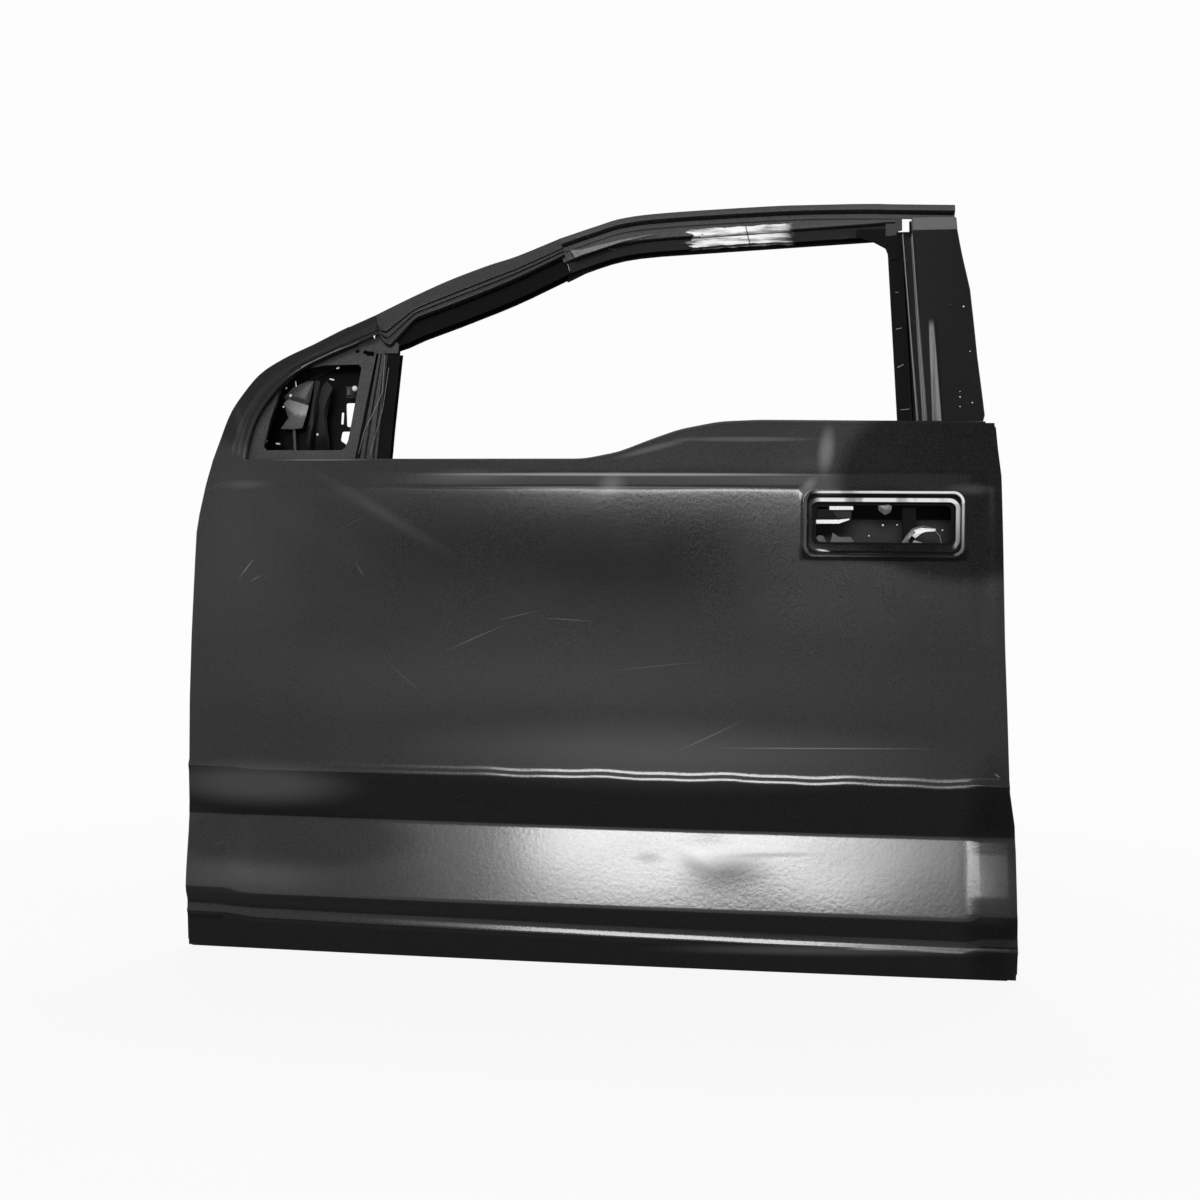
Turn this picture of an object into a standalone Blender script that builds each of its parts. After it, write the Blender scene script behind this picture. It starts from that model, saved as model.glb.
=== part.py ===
"""A bare front-left door shell of a full-size pickup, as welded steel stampings.

Door coordinates: X runs from the hinge end to the latch end, Y runs inboard from the
outermost plane of the skin, Z runs up from the bottom edge. Every piece hangs under the
empty door_datum, which puts the world origin on the upper hinge mounting face.
"""

import math

import bmesh
import bpy
from mathutils import Matrix, Vector, geometry

# Sheet metal and fits
SKIN_SHEET = 0.0010
INNER_SHEET = 0.0010
FRAME_SHEET = 0.0012
HEAVY_SHEET = 0.0020
SEAM_GAP = 0.0003

# Overall form of the door
PANEL_LENGTH = 1.277
BELT_HEIGHT = 0.787
BELT_RISE = 0.061
SHOULDER_HEIGHT = 0.764
FRAME_TOP = 1.216
SECTION_DEPTH = 0.012
CROWN_DEPTH = 0.010
CROWN_CENTRE_SHARE = 0.486
BELT_LEAN_SHARE = 0.15
FRONT_SWEEP = 0.031
REAR_SWEEP = 0.040

# Hems, folds and the pan of the inner panel
HINGE_FACE_X = 0.030
LATCH_FACE_X = 1.222
PAN_FLOOR_HEIGHT = 0.025
HEM_WIDTH = 0.009
HEM_NOTCH = 0.013
BELT_RADIUS = 0.003
BELT_FLANGE = 0.007
INNER_DEPTH = 0.130
INNER_LEAN_SHARE = 0.170
INNER_SHOULDER_HEIGHT = SHOULDER_HEIGHT * 0.916
INNER_TOP_DROP = 0.006
PAN_RADIUS = 0.008

# Upper frame and glass
TILT_SHARE = 0.30
FRAME_BASE_HEIGHT = 0.851
FRAME_BASE_DEPTH = 0.058
FRAME_DEPTH = 0.044
GLASS_DEPTH = 0.019
GLASS_BEND_RADIUS = 0.70
RUN_HALF_WIDTH = 0.009
RUN_LEG = 0.018
LEG_RUN_LEG = 0.028
PILLAR_RUN_LEG = 0.020
SAIL_EDGE_X = 0.053

# Outside handle pocket
HANDLE_X = 1.072
HANDLE_HEIGHT = 0.6875
HANDLE_LENGTH = 0.238
HANDLE_WIDTH = 0.097
HANDLE_CORNER = 0.016
HANDLE_MARGIN = 0.010
HANDLE_HOLE_LENGTH = 0.216
HANDLE_HOLE_WIDTH = 0.066
HANDLE_HOLE_CORNER = 0.010
POCKET_DEPTH = 0.0125
POCKET_FOLD = 0.003

# Hinges, check strap and latch
HINGE_DEPTH = 0.070
UPPER_HINGE_HEIGHT = 0.640
LOWER_HINGE_HEIGHT = 0.330
HINGE_BOLT_SPACING = 0.045
HINGE_BOLT_RADIUS = 0.0055
HINGE_PLATE_LENGTH = 0.085
HINGE_PLATE_WIDTH = 0.040
HINGE_PLATE_THICKNESS = 0.008
STRAP_HEIGHT = 0.487
STRAP_SLOT_WIDTH = 0.022
STRAP_SLOT_LENGTH = 0.040
LATCH_HEIGHT = 0.600
LATCH_CUT_WIDTH = 0.052
LATCH_CUT_LENGTH = 0.085
LATCH_SCREW_RADIUS = 0.004

# Intrusion beam
BEAM_RADIUS = 0.0159
BEAM_WALL = 0.0020
BEAM_DEPTH = 0.0290
BEAM_FRONT_X = 0.085
BEAM_REAR_X = 1.165
BEAM_FRONT_HEIGHT = 0.352
BEAM_REAR_HEIGHT = 0.318
BEAM_PAD_RADIUS = 0.014

# Inner panel openings
SPEAKER_X = 0.196
SPEAKER_HEIGHT = 0.226
SPEAKER_RADIUS = 0.080
SPEAKER_RIM = 0.018
ACCESS_CORNER = 0.050
ACCESS_LAND = 0.020
EMBOSS_DEPTH = 0.005
CLIP_HOLE_RADIUS = 0.0045
BEAD_HALF_WIDTH = 0.014
BEAD_SIDE = 0.006

# Smooth outlines: height share of the belt height, then share of the sweep
FRONT_EDGE_SHARES = (
    (0.0, -0.90), (0.127, -0.86), (0.273, -0.98), (0.368, -0.86), (0.508, -0.87),
    (0.628, -0.82), (0.790, -0.71), (0.848, -0.66), (0.886, -0.52), (0.947, -0.21),
    (0.983, 0.0), (1.0, 0.09),
)
REAR_EDGE_SHARES = (
    (0.0, 0.0), (0.055, 0.0), (0.136, -0.08), (0.245, -0.10), (0.294, -0.15),
    (0.362, -0.38), (0.508, -0.50), (0.645, -0.62), (0.836, -0.72), (0.967, -0.80),
    (1.020, -0.92), (1.078, -1.02),
)

# Belt line: length share, then share of the rise towards the rear
BELT_SHARES = (
    (0.0, 0.0), (0.478, 0.0), (0.521, 0.18), (0.558, 0.49), (0.594, 0.76),
    (0.643, 0.96), (0.691, 1.0), (0.968, 0.95), (1.0, 0.94),
)

# Body section: share of the shoulder height, then share of the section depth
SECTION_SHARES = (
    (0.0, 0.75), (0.018, 0.62), (0.056, 0.25), (0.0655, -0.04), (0.0750, 0.125),
    (0.0942, 0.083), (0.1150, -0.50), (0.1290, -0.68), (0.1636, -0.375),
    (0.1963, 0.042), (0.2450, 0.70), (0.2750, 1.0), (0.3020, 0.85), (0.369, 0.042),
    (0.382, -0.292), (0.396, 0.067), (0.5236, 0.008), (0.665, 0.033),
    (0.916, 0.40), (0.970, 0.567), (0.984, 0.658), (1.0, 0.808),
)
BELT_ROW_SHARES = (0.45, 0.80)

# Columns of the skin between hinge face and handle pocket, as shares of the length
COLUMN_SHARES = (
    0.118, 0.240, 0.365, 0.478, 0.521, 0.558, 0.600, 0.650, 0.691,
)
POCKET_COLUMN_SHARES = (0.25, 0.5, 0.75)

# Front arm beside the mirror: length and frame-height shares of its outer and inner edge
ARM_SHARES = (
    (0.0074, 0.075, 0.0431, 0.065), (0.0147, 0.170, 0.0478, 0.147),
    (0.0255, 0.242, 0.0572, 0.212), (0.0467, 0.336, 0.0744, 0.289),
    (0.0761, 0.400, 0.0971, 0.352), (0.1141, 0.458, 0.1316, 0.408),
    (0.1490, 0.515, 0.1629, 0.452), (0.1911, 0.576, 0.1973, 0.497),
)
ARM_MIDDLE_SHARE = 0.55
ARM_LEAN_SHARE = 0.361

# Leg and header: length and frame-height shares of the outer and the window edge
LEG_SHARES = (
    (0.1917, 0.5775, 0.1979, 0.4965), (0.1995, 0.590, 0.2150, 0.452), (0.2404, 0.653, 0.2553, 0.502),
    (0.2850, 0.716, 0.3015, 0.555), (0.3344, 0.774, 0.3524, 0.617),
    (0.3720, 0.811, 0.3892, 0.667), (0.4270, 0.881, 0.4424, 0.748),
)
HEADER_SHARES = (
    (0.4275, 0.8816, 0.4429, 0.7487), (0.4745, 0.930, 0.4792, 0.790),
    (0.5074, 0.960, 0.5121, 0.818), (0.5583, 0.978, 0.5583, 0.834),
    (0.6609, 0.993, 0.6609, 0.852), (0.7424, 1.0, 0.7424, 0.862),
    (0.8230, 0.998, 0.8230, 0.875), (0.8560, 0.994, 0.8560, 0.881),
    (0.9303, 0.986, 0.9303, 0.875),
)
HEADER_TAIL_STATIONS = 1

# B-pillar: frame-height shares of its stations and length shares of its rear edge
PILLAR_REAR_SHARES = (
    (0.030, 0.9522), (0.100, 0.9550), (0.156, 0.9600), (0.233, 0.9577),
    (0.378, 0.9530), (0.503, 0.9500), (0.638, 0.9464), (0.765, 0.9384),
    (0.828, 0.9350), (0.878, 0.9326), (0.925, 0.9317),
)
PILLAR_FRONT_SHARES = ((0.0, 0.8599), (0.834, 0.8473))
RIDGE_ONE_SHARES = ((0.0, 0.8828), (0.848, 0.8653))
RIDGE_TWO_SHARES = ((0.0, 0.8919), (0.879, 0.8764))
STRIP_LEFT_SHARE = 0.9009
STRIP_WIDTH = 0.015
STRIP_HEIGHT = 0.003
STRIP_TOP_SHARE = 0.540

# Mirror bracket: length and frame-height shares of its outline and of its large hole
BRACKET_OUTLINE_SHARES = (
    (0.0345, -0.085), (0.0345, 0.010), (0.0370, 0.075), (0.0415, 0.160),
    (0.0505, 0.226), (0.0690, 0.306), (0.0925, 0.371), (0.1275, 0.430),
    (0.1590, 0.474), (0.1860, 0.510), (0.1965, 0.448), (0.1900, 0.225),
    (0.1840, 0.0), (0.1840, -0.085),
)
BRACKET_HOLE_SHARES = (
    (0.0611, 0.035), (0.0655, 0.157), (0.0730, 0.283), (0.0835, 0.337),
    (0.0970, 0.364), (0.1320, 0.378), (0.1790, 0.380), (0.1765, 0.235),
    (0.1730, 0.077), (0.1690, 0.035),
)
BRACKET_PORT_SHARES = ((0.1700, 0.432), (0.1805, 0.428))
BRACKET_PORT_RADIUS = 0.0035
BRACKET_NUT_SHARES = ((0.0520, 0.080), (0.1830, 0.458), (0.1750, -0.045))
# Flat seat of the mirror base: around it the bracket is set back, where skin and leg lie over it
SEAT_LEFT_SHARES = ((0.0474, 0.0070), (0.0480, 0.0550), (0.0527, 0.1329))
SEAT_UPPER_SHARES = ((0.1390, 0.3916), (0.1484, 0.4044), (0.2032, 0.4044))
SEAT_HOLE_SHARES = ((0.0660, 0.1585), (0.1321, 0.3767))
SEAT_LOW_SHARE = 0.007
SEAT_STEP = 0.0005
NUT_RADIUS = 0.0065
NUT_HEIGHT = 0.006

# Sail inner plate: outline and see-through holes
SAIL_OUTLINE_SHARES = (
    (0.0345, -0.110), (0.0345, -0.014), (0.0345, 0.060), (0.0370, 0.160), (0.0500, 0.245),
    (0.0720, 0.325), (0.1000, 0.385), (0.1400, 0.440), (0.1750, 0.480),
    (0.2000, 0.470), (0.2010, 0.200), (0.2010, -0.014), (0.2010, -0.110),
)
SAIL_HOLE_SHARES = (
    ((0.1514, 0.148), (0.1487, 0.242), (0.1690, 0.242), (0.1668, 0.145)),
    ((0.1455, 0.129), (0.1612, 0.129), (0.1612, 0.097), (0.1540, 0.073), (0.1440, 0.093)),
    ((0.1432, 0.157), (0.1432, 0.205), (0.1462, 0.205), (0.1462, 0.157)),
    ((0.1685, 0.286), (0.1685, 0.300), (0.1720, 0.300), (0.1720, 0.286)),
    ((0.0780, 0.262), (0.0780, 0.272), (0.0812, 0.272), (0.0812, 0.262)),
)

# Division channel and mirror post at the front of the window
DIVISION_WEB_SHARES = ((-0.95, 0.2055), (0.430, 0.2105))
DIVISION_LEG = 0.020
POST_RIDGE_SHARES = (0.0, 0.06, 0.26, 0.34, 0.44, 0.52, 0.78, 0.86, 1.0)
POST_DEPTH_SHARES = (1.0, 0.25, 0.25, 1.0, 1.0, 0.0, 0.0, 1.0, 1.0)
POST_LEFT_SHARES = ((-0.2, 0.1804), (0.45, 0.1992))
POST_DEPTH = 0.006
CHANNEL_FOOT_HEIGHT = 0.400

# Access openings and clip holes of the inner panel: length and belt-height shares
ACCESS_FRONT_SHARES = ((0.268, 0.300), (0.268, 0.800), (0.600, 0.800), (0.600, 0.230), (0.340, 0.230))
ACCESS_REAR_SHARES = ((0.665, 0.330), (0.665, 0.760), (0.850, 0.760), (0.850, 0.420), (0.790, 0.330))
CLIP_HOLE_SHARES = (
    (0.055, 0.10), (0.055, 0.55), (0.055, 0.78), (0.240, 0.07), (0.450, 0.07),
    (0.660, 0.07), (0.900, 0.10), (0.925, 0.45), (0.925, 0.80), (0.632, 0.30), (0.632, 0.70),
)
LOWER_BEAD_SHARES = ((0.300, 0.875), 0.150)
UPPER_BEAD_SHARES = ((0.100, 0.225), 0.620)

OVERRUN = 0.020
HOLE_SIDES = 10
LARGE_SIDES = 32


def interpolate(table, key):
    """Value at key on the broken line through a table of (key, value) pairs."""
    for (k0, v0), (k1, v1) in zip(table, table[1:]):
        if key <= k1:
            return v0 + (v1 - v0) * (key - k0) / (k1 - k0)
    return table[-1][1]


def smooth_pairs(stations, steps):
    """Points on Catmull-Rom curves through the stations, with a few steps to each span."""
    result = []
    last = len(stations) - 1
    for i in range(last):
        before = stations[max(i - 1, 0)]
        after = stations[min(i + 2, last)]
        for s in range(steps):
            t = s / steps
            row = []
            for a, b, c, d in zip(before, stations[i], stations[i + 1], after):
                bend = (c - a) * t + (a * 2 - b * 5 + c * 4 - d) * t * t
                row.append(b + (bend + (b * 3 - a - c * 3 + d) * t * t * t) / 2)
            result.append(tuple(row))
    result.append(stations[-1])
    return result


def layer(one, other):
    """Distance between the middles of two sheets that lie on each other."""
    return (one + other) / 2 + SEAM_GAP


HEM_STEP = layer(SKIN_SHEET, INNER_SHEET)
FRAME_STEP = layer(FRAME_SHEET, FRAME_SHEET)
FRAME_RISE = FRAME_TOP - BELT_HEIGHT
FRAME_COS = 1 / math.sqrt(1 + TILT_SHARE ** 2)


def front_x(z):
    return FRONT_SWEEP * interpolate(FRONT_EDGE_SHARES, z / BELT_HEIGHT)


def rear_x(z):
    return PANEL_LENGTH + REAR_SWEEP * interpolate(REAR_EDGE_SHARES, z / BELT_HEIGHT)


def belt_z(x):
    return BELT_HEIGHT + BELT_RISE * interpolate(BELT_SHARES, x / PANEL_LENGTH)


def skin_columns():
    """Straight columns of the skin, from the hinge face to the latch face."""
    inner = [PANEL_LENGTH * share for share in COLUMN_SHARES]
    left = HANDLE_X - HANDLE_LENGTH / 2 - HANDLE_MARGIN
    width = HANDLE_LENGTH + 2 * HANDLE_MARGIN
    pocket = [left + width * share for share in (0, *POCKET_COLUMN_SHARES, 1)]
    return [HINGE_FACE_X, SAIL_EDGE_X, *inner, *pocket, LATCH_FACE_X]


COLUMNS = skin_columns()


def crown(x):
    """Plan curve of the skin, straight between its columns and beyond the last ones."""
    def arch(at):
        return CROWN_DEPTH * ((at / PANEL_LENGTH - CROWN_CENTRE_SHARE) * 2) ** 2

    k = 0
    while k < len(COLUMNS) - 2 and x > COLUMNS[k + 1]:
        k += 1
    x0, x1 = COLUMNS[k], COLUMNS[k + 1]
    return arch(x0) + (arch(x1) - arch(x0)) * (x - x0) / (x1 - x0)


def skin_y(x, z):
    """Middle of the skin sheet at a place on the door below the belt."""
    above = max(z - SHOULDER_HEIGHT, 0)
    section = interpolate(SECTION_SHARES, min(z / SHOULDER_HEIGHT, 1)) * SECTION_DEPTH
    return section + above * BELT_LEAN_SHARE + crown(x)


def skin_heights():
    """Heights of the skin's level rows, from the bottom edge to the shoulder."""
    table = {round(share * SHOULDER_HEIGHT, 6) for share, _ in SECTION_SHARES}
    reach = HANDLE_WIDTH / 2 + HANDLE_MARGIN
    table |= {PAN_FLOOR_HEIGHT, HANDLE_HEIGHT - reach, HANDLE_HEIGHT + reach}
    return sorted(table)


HEIGHTS = skin_heights()


def skin_point(x, z):
    return Vector((x, skin_y(x, z), z))


def skin_grid():
    """Rows of points over the skin, bottom edge first, front edge first."""
    rows = []
    shares = (*BELT_ROW_SHARES, 1)
    for k in range(len(HEIGHTS) + len(shares)):
        row = []
        for x in (None, *COLUMNS, None):
            rear = x is None and row
            anchor = COLUMNS[-1] if rear else COLUMNS[0]
            top = belt_z(anchor if x is None else x) - BELT_RADIUS
            if k < len(HEIGHTS):
                z = HEIGHTS[k]
            else:
                z = SHOULDER_HEIGHT + (top - SHOULDER_HEIGHT) * shares[k - len(HEIGHTS)]
            if x is not None:
                row.append(skin_point(x, z))
            elif rear:
                edge = rear_x(z)
                row += [skin_point(edge - HEM_NOTCH, z), skin_point(edge, z)]
            else:
                edge = front_x(z)
                row += [skin_point(edge, z), skin_point(edge + HEM_NOTCH, z)]
        rows.append(row)
    return rows


GRID = skin_grid()
BELT_ROW = len(GRID) - 1
LAST = len(GRID[0]) - 1
FLOOR_ROW = HEIGHTS.index(PAN_FLOOR_HEIGHT)
HINGE_COLUMN = 2
LATCH_COLUMN = LAST - 2
SAIL_COLUMN = 3


def inboard(across, along):
    normal = across.cross(along).normalized()
    return normal if normal.y > 0 else -normal


def mitre(across, before, after):
    """Offset direction that keeps a sheet's distance at the fold between two steps."""
    one, two = inboard(across, before), inboard(across, after)
    return (one + two) / (1 + one.dot(two))


def grid_normal(i, j):
    """Offset direction of the skin at one point of its grid."""
    across = GRID[i][min(j + 1, LAST)] - GRID[i][max(j - 1, 0)]
    before = GRID[max(i, 1)][j] - GRID[max(i, 1) - 1][j]
    after = GRID[min(i + 1, BELT_ROW)][j] - GRID[min(i, BELT_ROW - 1)][j]
    return mitre(across, before, after)


def frame_z(share):
    return BELT_HEIGHT + FRAME_RISE * share


def frame_y(z):
    """Outer plane of the upper window frame."""
    return FRAME_BASE_DEPTH + TILT_SHARE * (z - FRAME_BASE_HEIGHT)


FRAME_NORMAL = Vector((0, FRAME_COS, -TILT_SHARE * FRAME_COS))


def frame_point(x_share, z_share):
    z = frame_z(z_share)
    return Vector((PANEL_LENGTH * x_share, frame_y(z), z))


def glass_frame(z):
    """Centre depth and inboard normal of the glass: flat above, bent upright below the belt."""
    base = FRAME_BASE_DEPTH + GLASS_DEPTH / FRAME_COS
    drop = FRAME_BASE_HEIGHT - z
    if drop <= 0:
        slope = TILT_SHARE
        y = base - TILT_SHARE * drop
    else:
        bend = min(drop, GLASS_BEND_RADIUS * TILT_SHARE)
        slope = TILT_SHARE - bend / GLASS_BEND_RADIUS
        y = base - TILT_SHARE * bend + bend * bend / GLASS_BEND_RADIUS / 2
    length = math.sqrt(1 + slope * slope)
    return y, Vector((0, 1, -slope)) / length


def glass_point(x, z, depth):
    """Point at a depth inboard of the frame's outer plane, square to the glass."""
    y, normal = glass_frame(z)
    return Vector((x, y, z)) + normal * (depth - GLASS_DEPTH)


def inner_top(x):
    return belt_z(x) - INNER_TOP_DROP


def inner_y(z):
    """Middle of the inner panel's flat face and of its slope up to the belt."""
    return INNER_DEPTH - INNER_LEAN_SHARE * max(z - INNER_SHOULDER_HEIGHT, 0)


def rounded_loop(points, radius, steps=3):
    """A closed outline with each corner turned into an arc."""
    loop = []
    count = len(points)
    for k in range(count):
        corner = Vector(points[k])
        one = Vector(points[k - 1]) - corner
        two = Vector(points[(k + 1) % count]) - corner
        half = one.angle(two) / 2
        reach = min(radius / math.tan(half), one.length / 2.2, two.length / 2.2)
        start = corner + one.normalized() * reach
        end = corner + two.normalized() * reach
        for s in range(steps + 1):
            t = s / steps
            loop.append(start.lerp(corner, t).lerp(corner.lerp(end, t), t))
    return loop


def circle_loop(x, z, radius, sides):
    turn = 2 * math.pi / sides
    return [Vector((x + radius * math.cos(turn * k), z + radius * math.sin(turn * k)))
            for k in range(sides)]


def box_loop(x, z, length, width):
    return [(x - length / 2, z - width / 2), (x + length / 2, z - width / 2),
            (x + length / 2, z + width / 2), (x - length / 2, z + width / 2)]


def share_loop(shares, height, base):
    return [Vector((PANEL_LENGTH * a, base + height * b)) for a, b in shares]


def inside(point, loop):
    """Whether a flat point lies inside a closed outline."""
    crossings = 0
    for a, b in zip(loop, [*loop[1:], loop[0]]):
        if (a[1] > point[1]) != (b[1] > point[1]):
            at = a[0] + (b[0] - a[0]) * (point[1] - a[1]) / (b[1] - a[1])
            crossings += point[0] < at
    return crossings % 2 == 1


def fill_sheet(bm, outline, holes, raised, lines, place):
    """Triangles over an outline; holes is a list of (loop, depth), raised of (loop, depth)."""
    points, edges, depths = [], [], []

    def add(loop, depth, closed=True):
        first = len(points)
        points.extend(Vector(p) for p in loop)
        depths.extend([depth] * len(loop))
        count = len(loop)
        edges.extend((first + k, first + (k + 1) % count) for k in range(count if closed else count - 1))

    add(outline, 0)
    for loop, depth in (*holes, *raised):
        add(loop, depth)
    for line in lines:
        add(line, 0, closed=False)
    tolerance = SEAM_GAP / 100
    found, _, faces, sources, _, _ = geometry.delaunay_2d_cdt(points, edges, [], 0, tolerance)
    verts = []
    for at, source in zip(found, sources):
        depth = max((depths[k] for k in source), default=0)
        verts.append(bm.verts.new(place(at[0], at[1], depth)))
    for face in faces:
        middle = sum((found[k] for k in face), Vector((0, 0))) / len(face)
        if inside(middle, outline) and not any(inside(middle, loop) for loop, _ in holes):
            bm.faces.new([verts[k] for k in face])
    loose = [v for v in verts if not v.link_faces]
    bmesh.ops.delete(bm, geom=loose, context="VERTS")


def add_strip(bm, rows, closed=False, skip=None):
    """Quads between rows of points; skip(i, k) leaves one out."""
    verts = [[bm.verts.new(p) for p in row] for row in rows]
    for i in range(len(verts) - 1):
        count = len(verts[i])
        for k in range(count if closed else count - 1):
            if skip and skip(i, k):
                continue
            n = (k + 1) % count
            bm.faces.new((verts[i][k], verts[i][n], verts[i + 1][n], verts[i + 1][k]))


def paint(obj, colour, roughness, metallic):
    material = bpy.data.materials.new(obj.name)
    material.use_nodes = True
    shader = material.node_tree.nodes["Principled BSDF"]
    shader.inputs["Base Color"].default_value = (*colour, 1)
    shader.inputs["Roughness"].default_value = roughness
    shader.inputs["Metallic"].default_value = metallic
    obj.data.materials.append(material)


COAT = ((0.028, 0.028, 0.030), 0.34, 0.0)
COAT_DARK = ((0.016, 0.016, 0.017), 0.45, 0.0)
BARE = ((0.42, 0.42, 0.43), 0.42, 0.9)
ZINC = ((0.30, 0.31, 0.32), 0.45, 0.8)
MASTIC = ((0.05, 0.05, 0.05), 0.85, 0.0)


def keep(name, mesh, look):
    """A named object of the door, under its datum, with its own material."""
    obj = bpy.data.objects.new(name, mesh)
    bpy.data.collections["car_door_shell"].objects.link(obj)
    obj.parent = bpy.data.objects["door_datum"]
    paint(obj, *look)
    return obj


def mesh_of(bm, name):
    bmesh.ops.remove_doubles(bm, verts=bm.verts, dist=SEAM_GAP / 30)
    bmesh.ops.recalc_face_normals(bm, faces=bm.faces)
    mesh = bpy.data.meshes.new(name)
    bm.to_mesh(mesh)
    bm.free()
    return mesh


def sheet_object(name, bm, thickness, look):
    """An open surface at the middle of a sheet, thickened to both sides."""
    obj = keep(name, mesh_of(bm, name), look)
    wall = obj.modifiers.new("sheet", "SOLIDIFY")
    wall.thickness = thickness
    wall.offset = 0
    wall.use_even_offset = True
    wall.use_quality_normals = True
    return obj


def strip_object(name, rows, thickness, look, skip=None):
    bm = bmesh.new()
    add_strip(bm, rows, skip=skip)
    return sheet_object(name, bm, thickness, look)


def cutter(name, bm):
    """A hidden solid that others are cut with."""
    obj = bpy.data.objects.new(name, mesh_of(bm, name))
    bpy.data.collections["cutters"].objects.link(obj)
    obj.parent = bpy.data.objects["door_datum"]
    obj.hide_render = True
    obj.display_type = "WIRE"
    return obj


def cut(obj, tool):
    hole = obj.modifiers.new(tool.name, "BOOLEAN")
    hole.operation = "DIFFERENCE"
    hole.solver = "EXACT"
    hole.object = tool


def add_rod(bm, centre, radius, length, axis, sides=HOLE_SIDES):
    turn = {"X": Matrix.Rotation(math.pi / 2, 4, "Y"), "Y": Matrix.Rotation(math.pi / 2, 4, "X"),
            "Z": Matrix.Identity(4)}[axis]
    bmesh.ops.create_cone(bm, cap_ends=True, segments=sides, radius1=radius, radius2=radius,
                          depth=length, matrix=Matrix.Translation(centre) @ turn)


def add_block(bm, centre, size):
    bmesh.ops.create_cube(bm, size=1, matrix=Matrix.Translation(centre) @ Matrix.Diagonal((*size, 1)))


def hem_rings(edge, outward, normal):
    """Points of a hem: round the fold and back over the inner panel's flange."""
    ring = []
    for k in (1, 2, 3):
        turn = math.pi * k / 3
        ring.append(edge + outward * HEM_STEP * math.sin(turn) + normal * HEM_STEP * (1 - math.cos(turn)))
    ring.append(edge - outward * HEM_WIDTH + normal * HEM_STEP * 2)
    return ring


def flange_rings(edge, outward, normal):
    """Points of a square fold inboard, with its radius."""
    ring = []
    for k in (1, 2):
        turn = math.pi / 2 * k / 2
        ring.append(edge + outward * BELT_RADIUS * math.sin(turn) + normal * BELT_RADIUS * (1 - math.cos(turn)))
    ring.append(ring[-1] + normal * BELT_FLANGE)
    return ring


def arm_rows():
    """Rows across the front arm of the skin, from the belt up to its seam with the frame."""
    base = GRID[BELT_ROW][:SAIL_COLUMN + 1]
    rows = [base]
    for outer_x, outer_z, inner_x, inner_z in ARM_SHARES:
        outer = Vector((PANEL_LENGTH * outer_x, 0, frame_z(outer_z)))
        inner = Vector((PANEL_LENGTH * inner_x, 0, frame_z(inner_z)))
        notch = HEM_NOTCH / (inner - outer).length
        row = []
        for start, share in zip(base, (0, notch, ARM_MIDDLE_SHARE, 1)):
            point = outer.lerp(inner, share)
            point.y = start.y + ARM_LEAN_SHARE * (point.z - start.z)
            row.append(point)
        rows.append(row)
    return rows


ARM = arm_rows()


def chain_frames(points, inward):
    """Outward direction and offset direction at each point of an edge."""
    frames = []
    last = len(points) - 1
    for k, (point, inner) in enumerate(zip(points, inward)):
        outward = (point - inner).normalized()
        before = points[max(k, 1)] - points[max(k, 1) - 1]
        after = points[min(k + 1, last)] - points[min(k, last - 1)]
        frames.append((point, outward, mitre(outward, before, after)))
    return frames


def pocket_loops():
    """Rounded outlines of the handle pocket from its rim to the edge of its hole."""
    steps = (
        (0, 0), (POCKET_FOLD / 2, POCKET_FOLD / 4), (POCKET_FOLD, POCKET_FOLD),
        (POCKET_FOLD * 1.6, POCKET_DEPTH - POCKET_FOLD), (POCKET_FOLD * 2.2, POCKET_DEPTH),
    )
    loops = []
    for inset, depth in steps:
        box = box_loop(HANDLE_X, HANDLE_HEIGHT, HANDLE_LENGTH - inset * 2, HANDLE_WIDTH - inset * 2)
        loops.append((rounded_loop(box, HANDLE_CORNER - inset, 3), depth))
    box = box_loop(HANDLE_X, HANDLE_HEIGHT, HANDLE_HOLE_LENGTH, HANDLE_HOLE_WIDTH)
    loops.append((rounded_loop(box, HANDLE_HOLE_CORNER, 3), POCKET_DEPTH))
    return loops


def lift(loop, depth):
    return [skin_point(p[0], p[1]) + Vector((0, depth, 0)) for p in loop]


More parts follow.
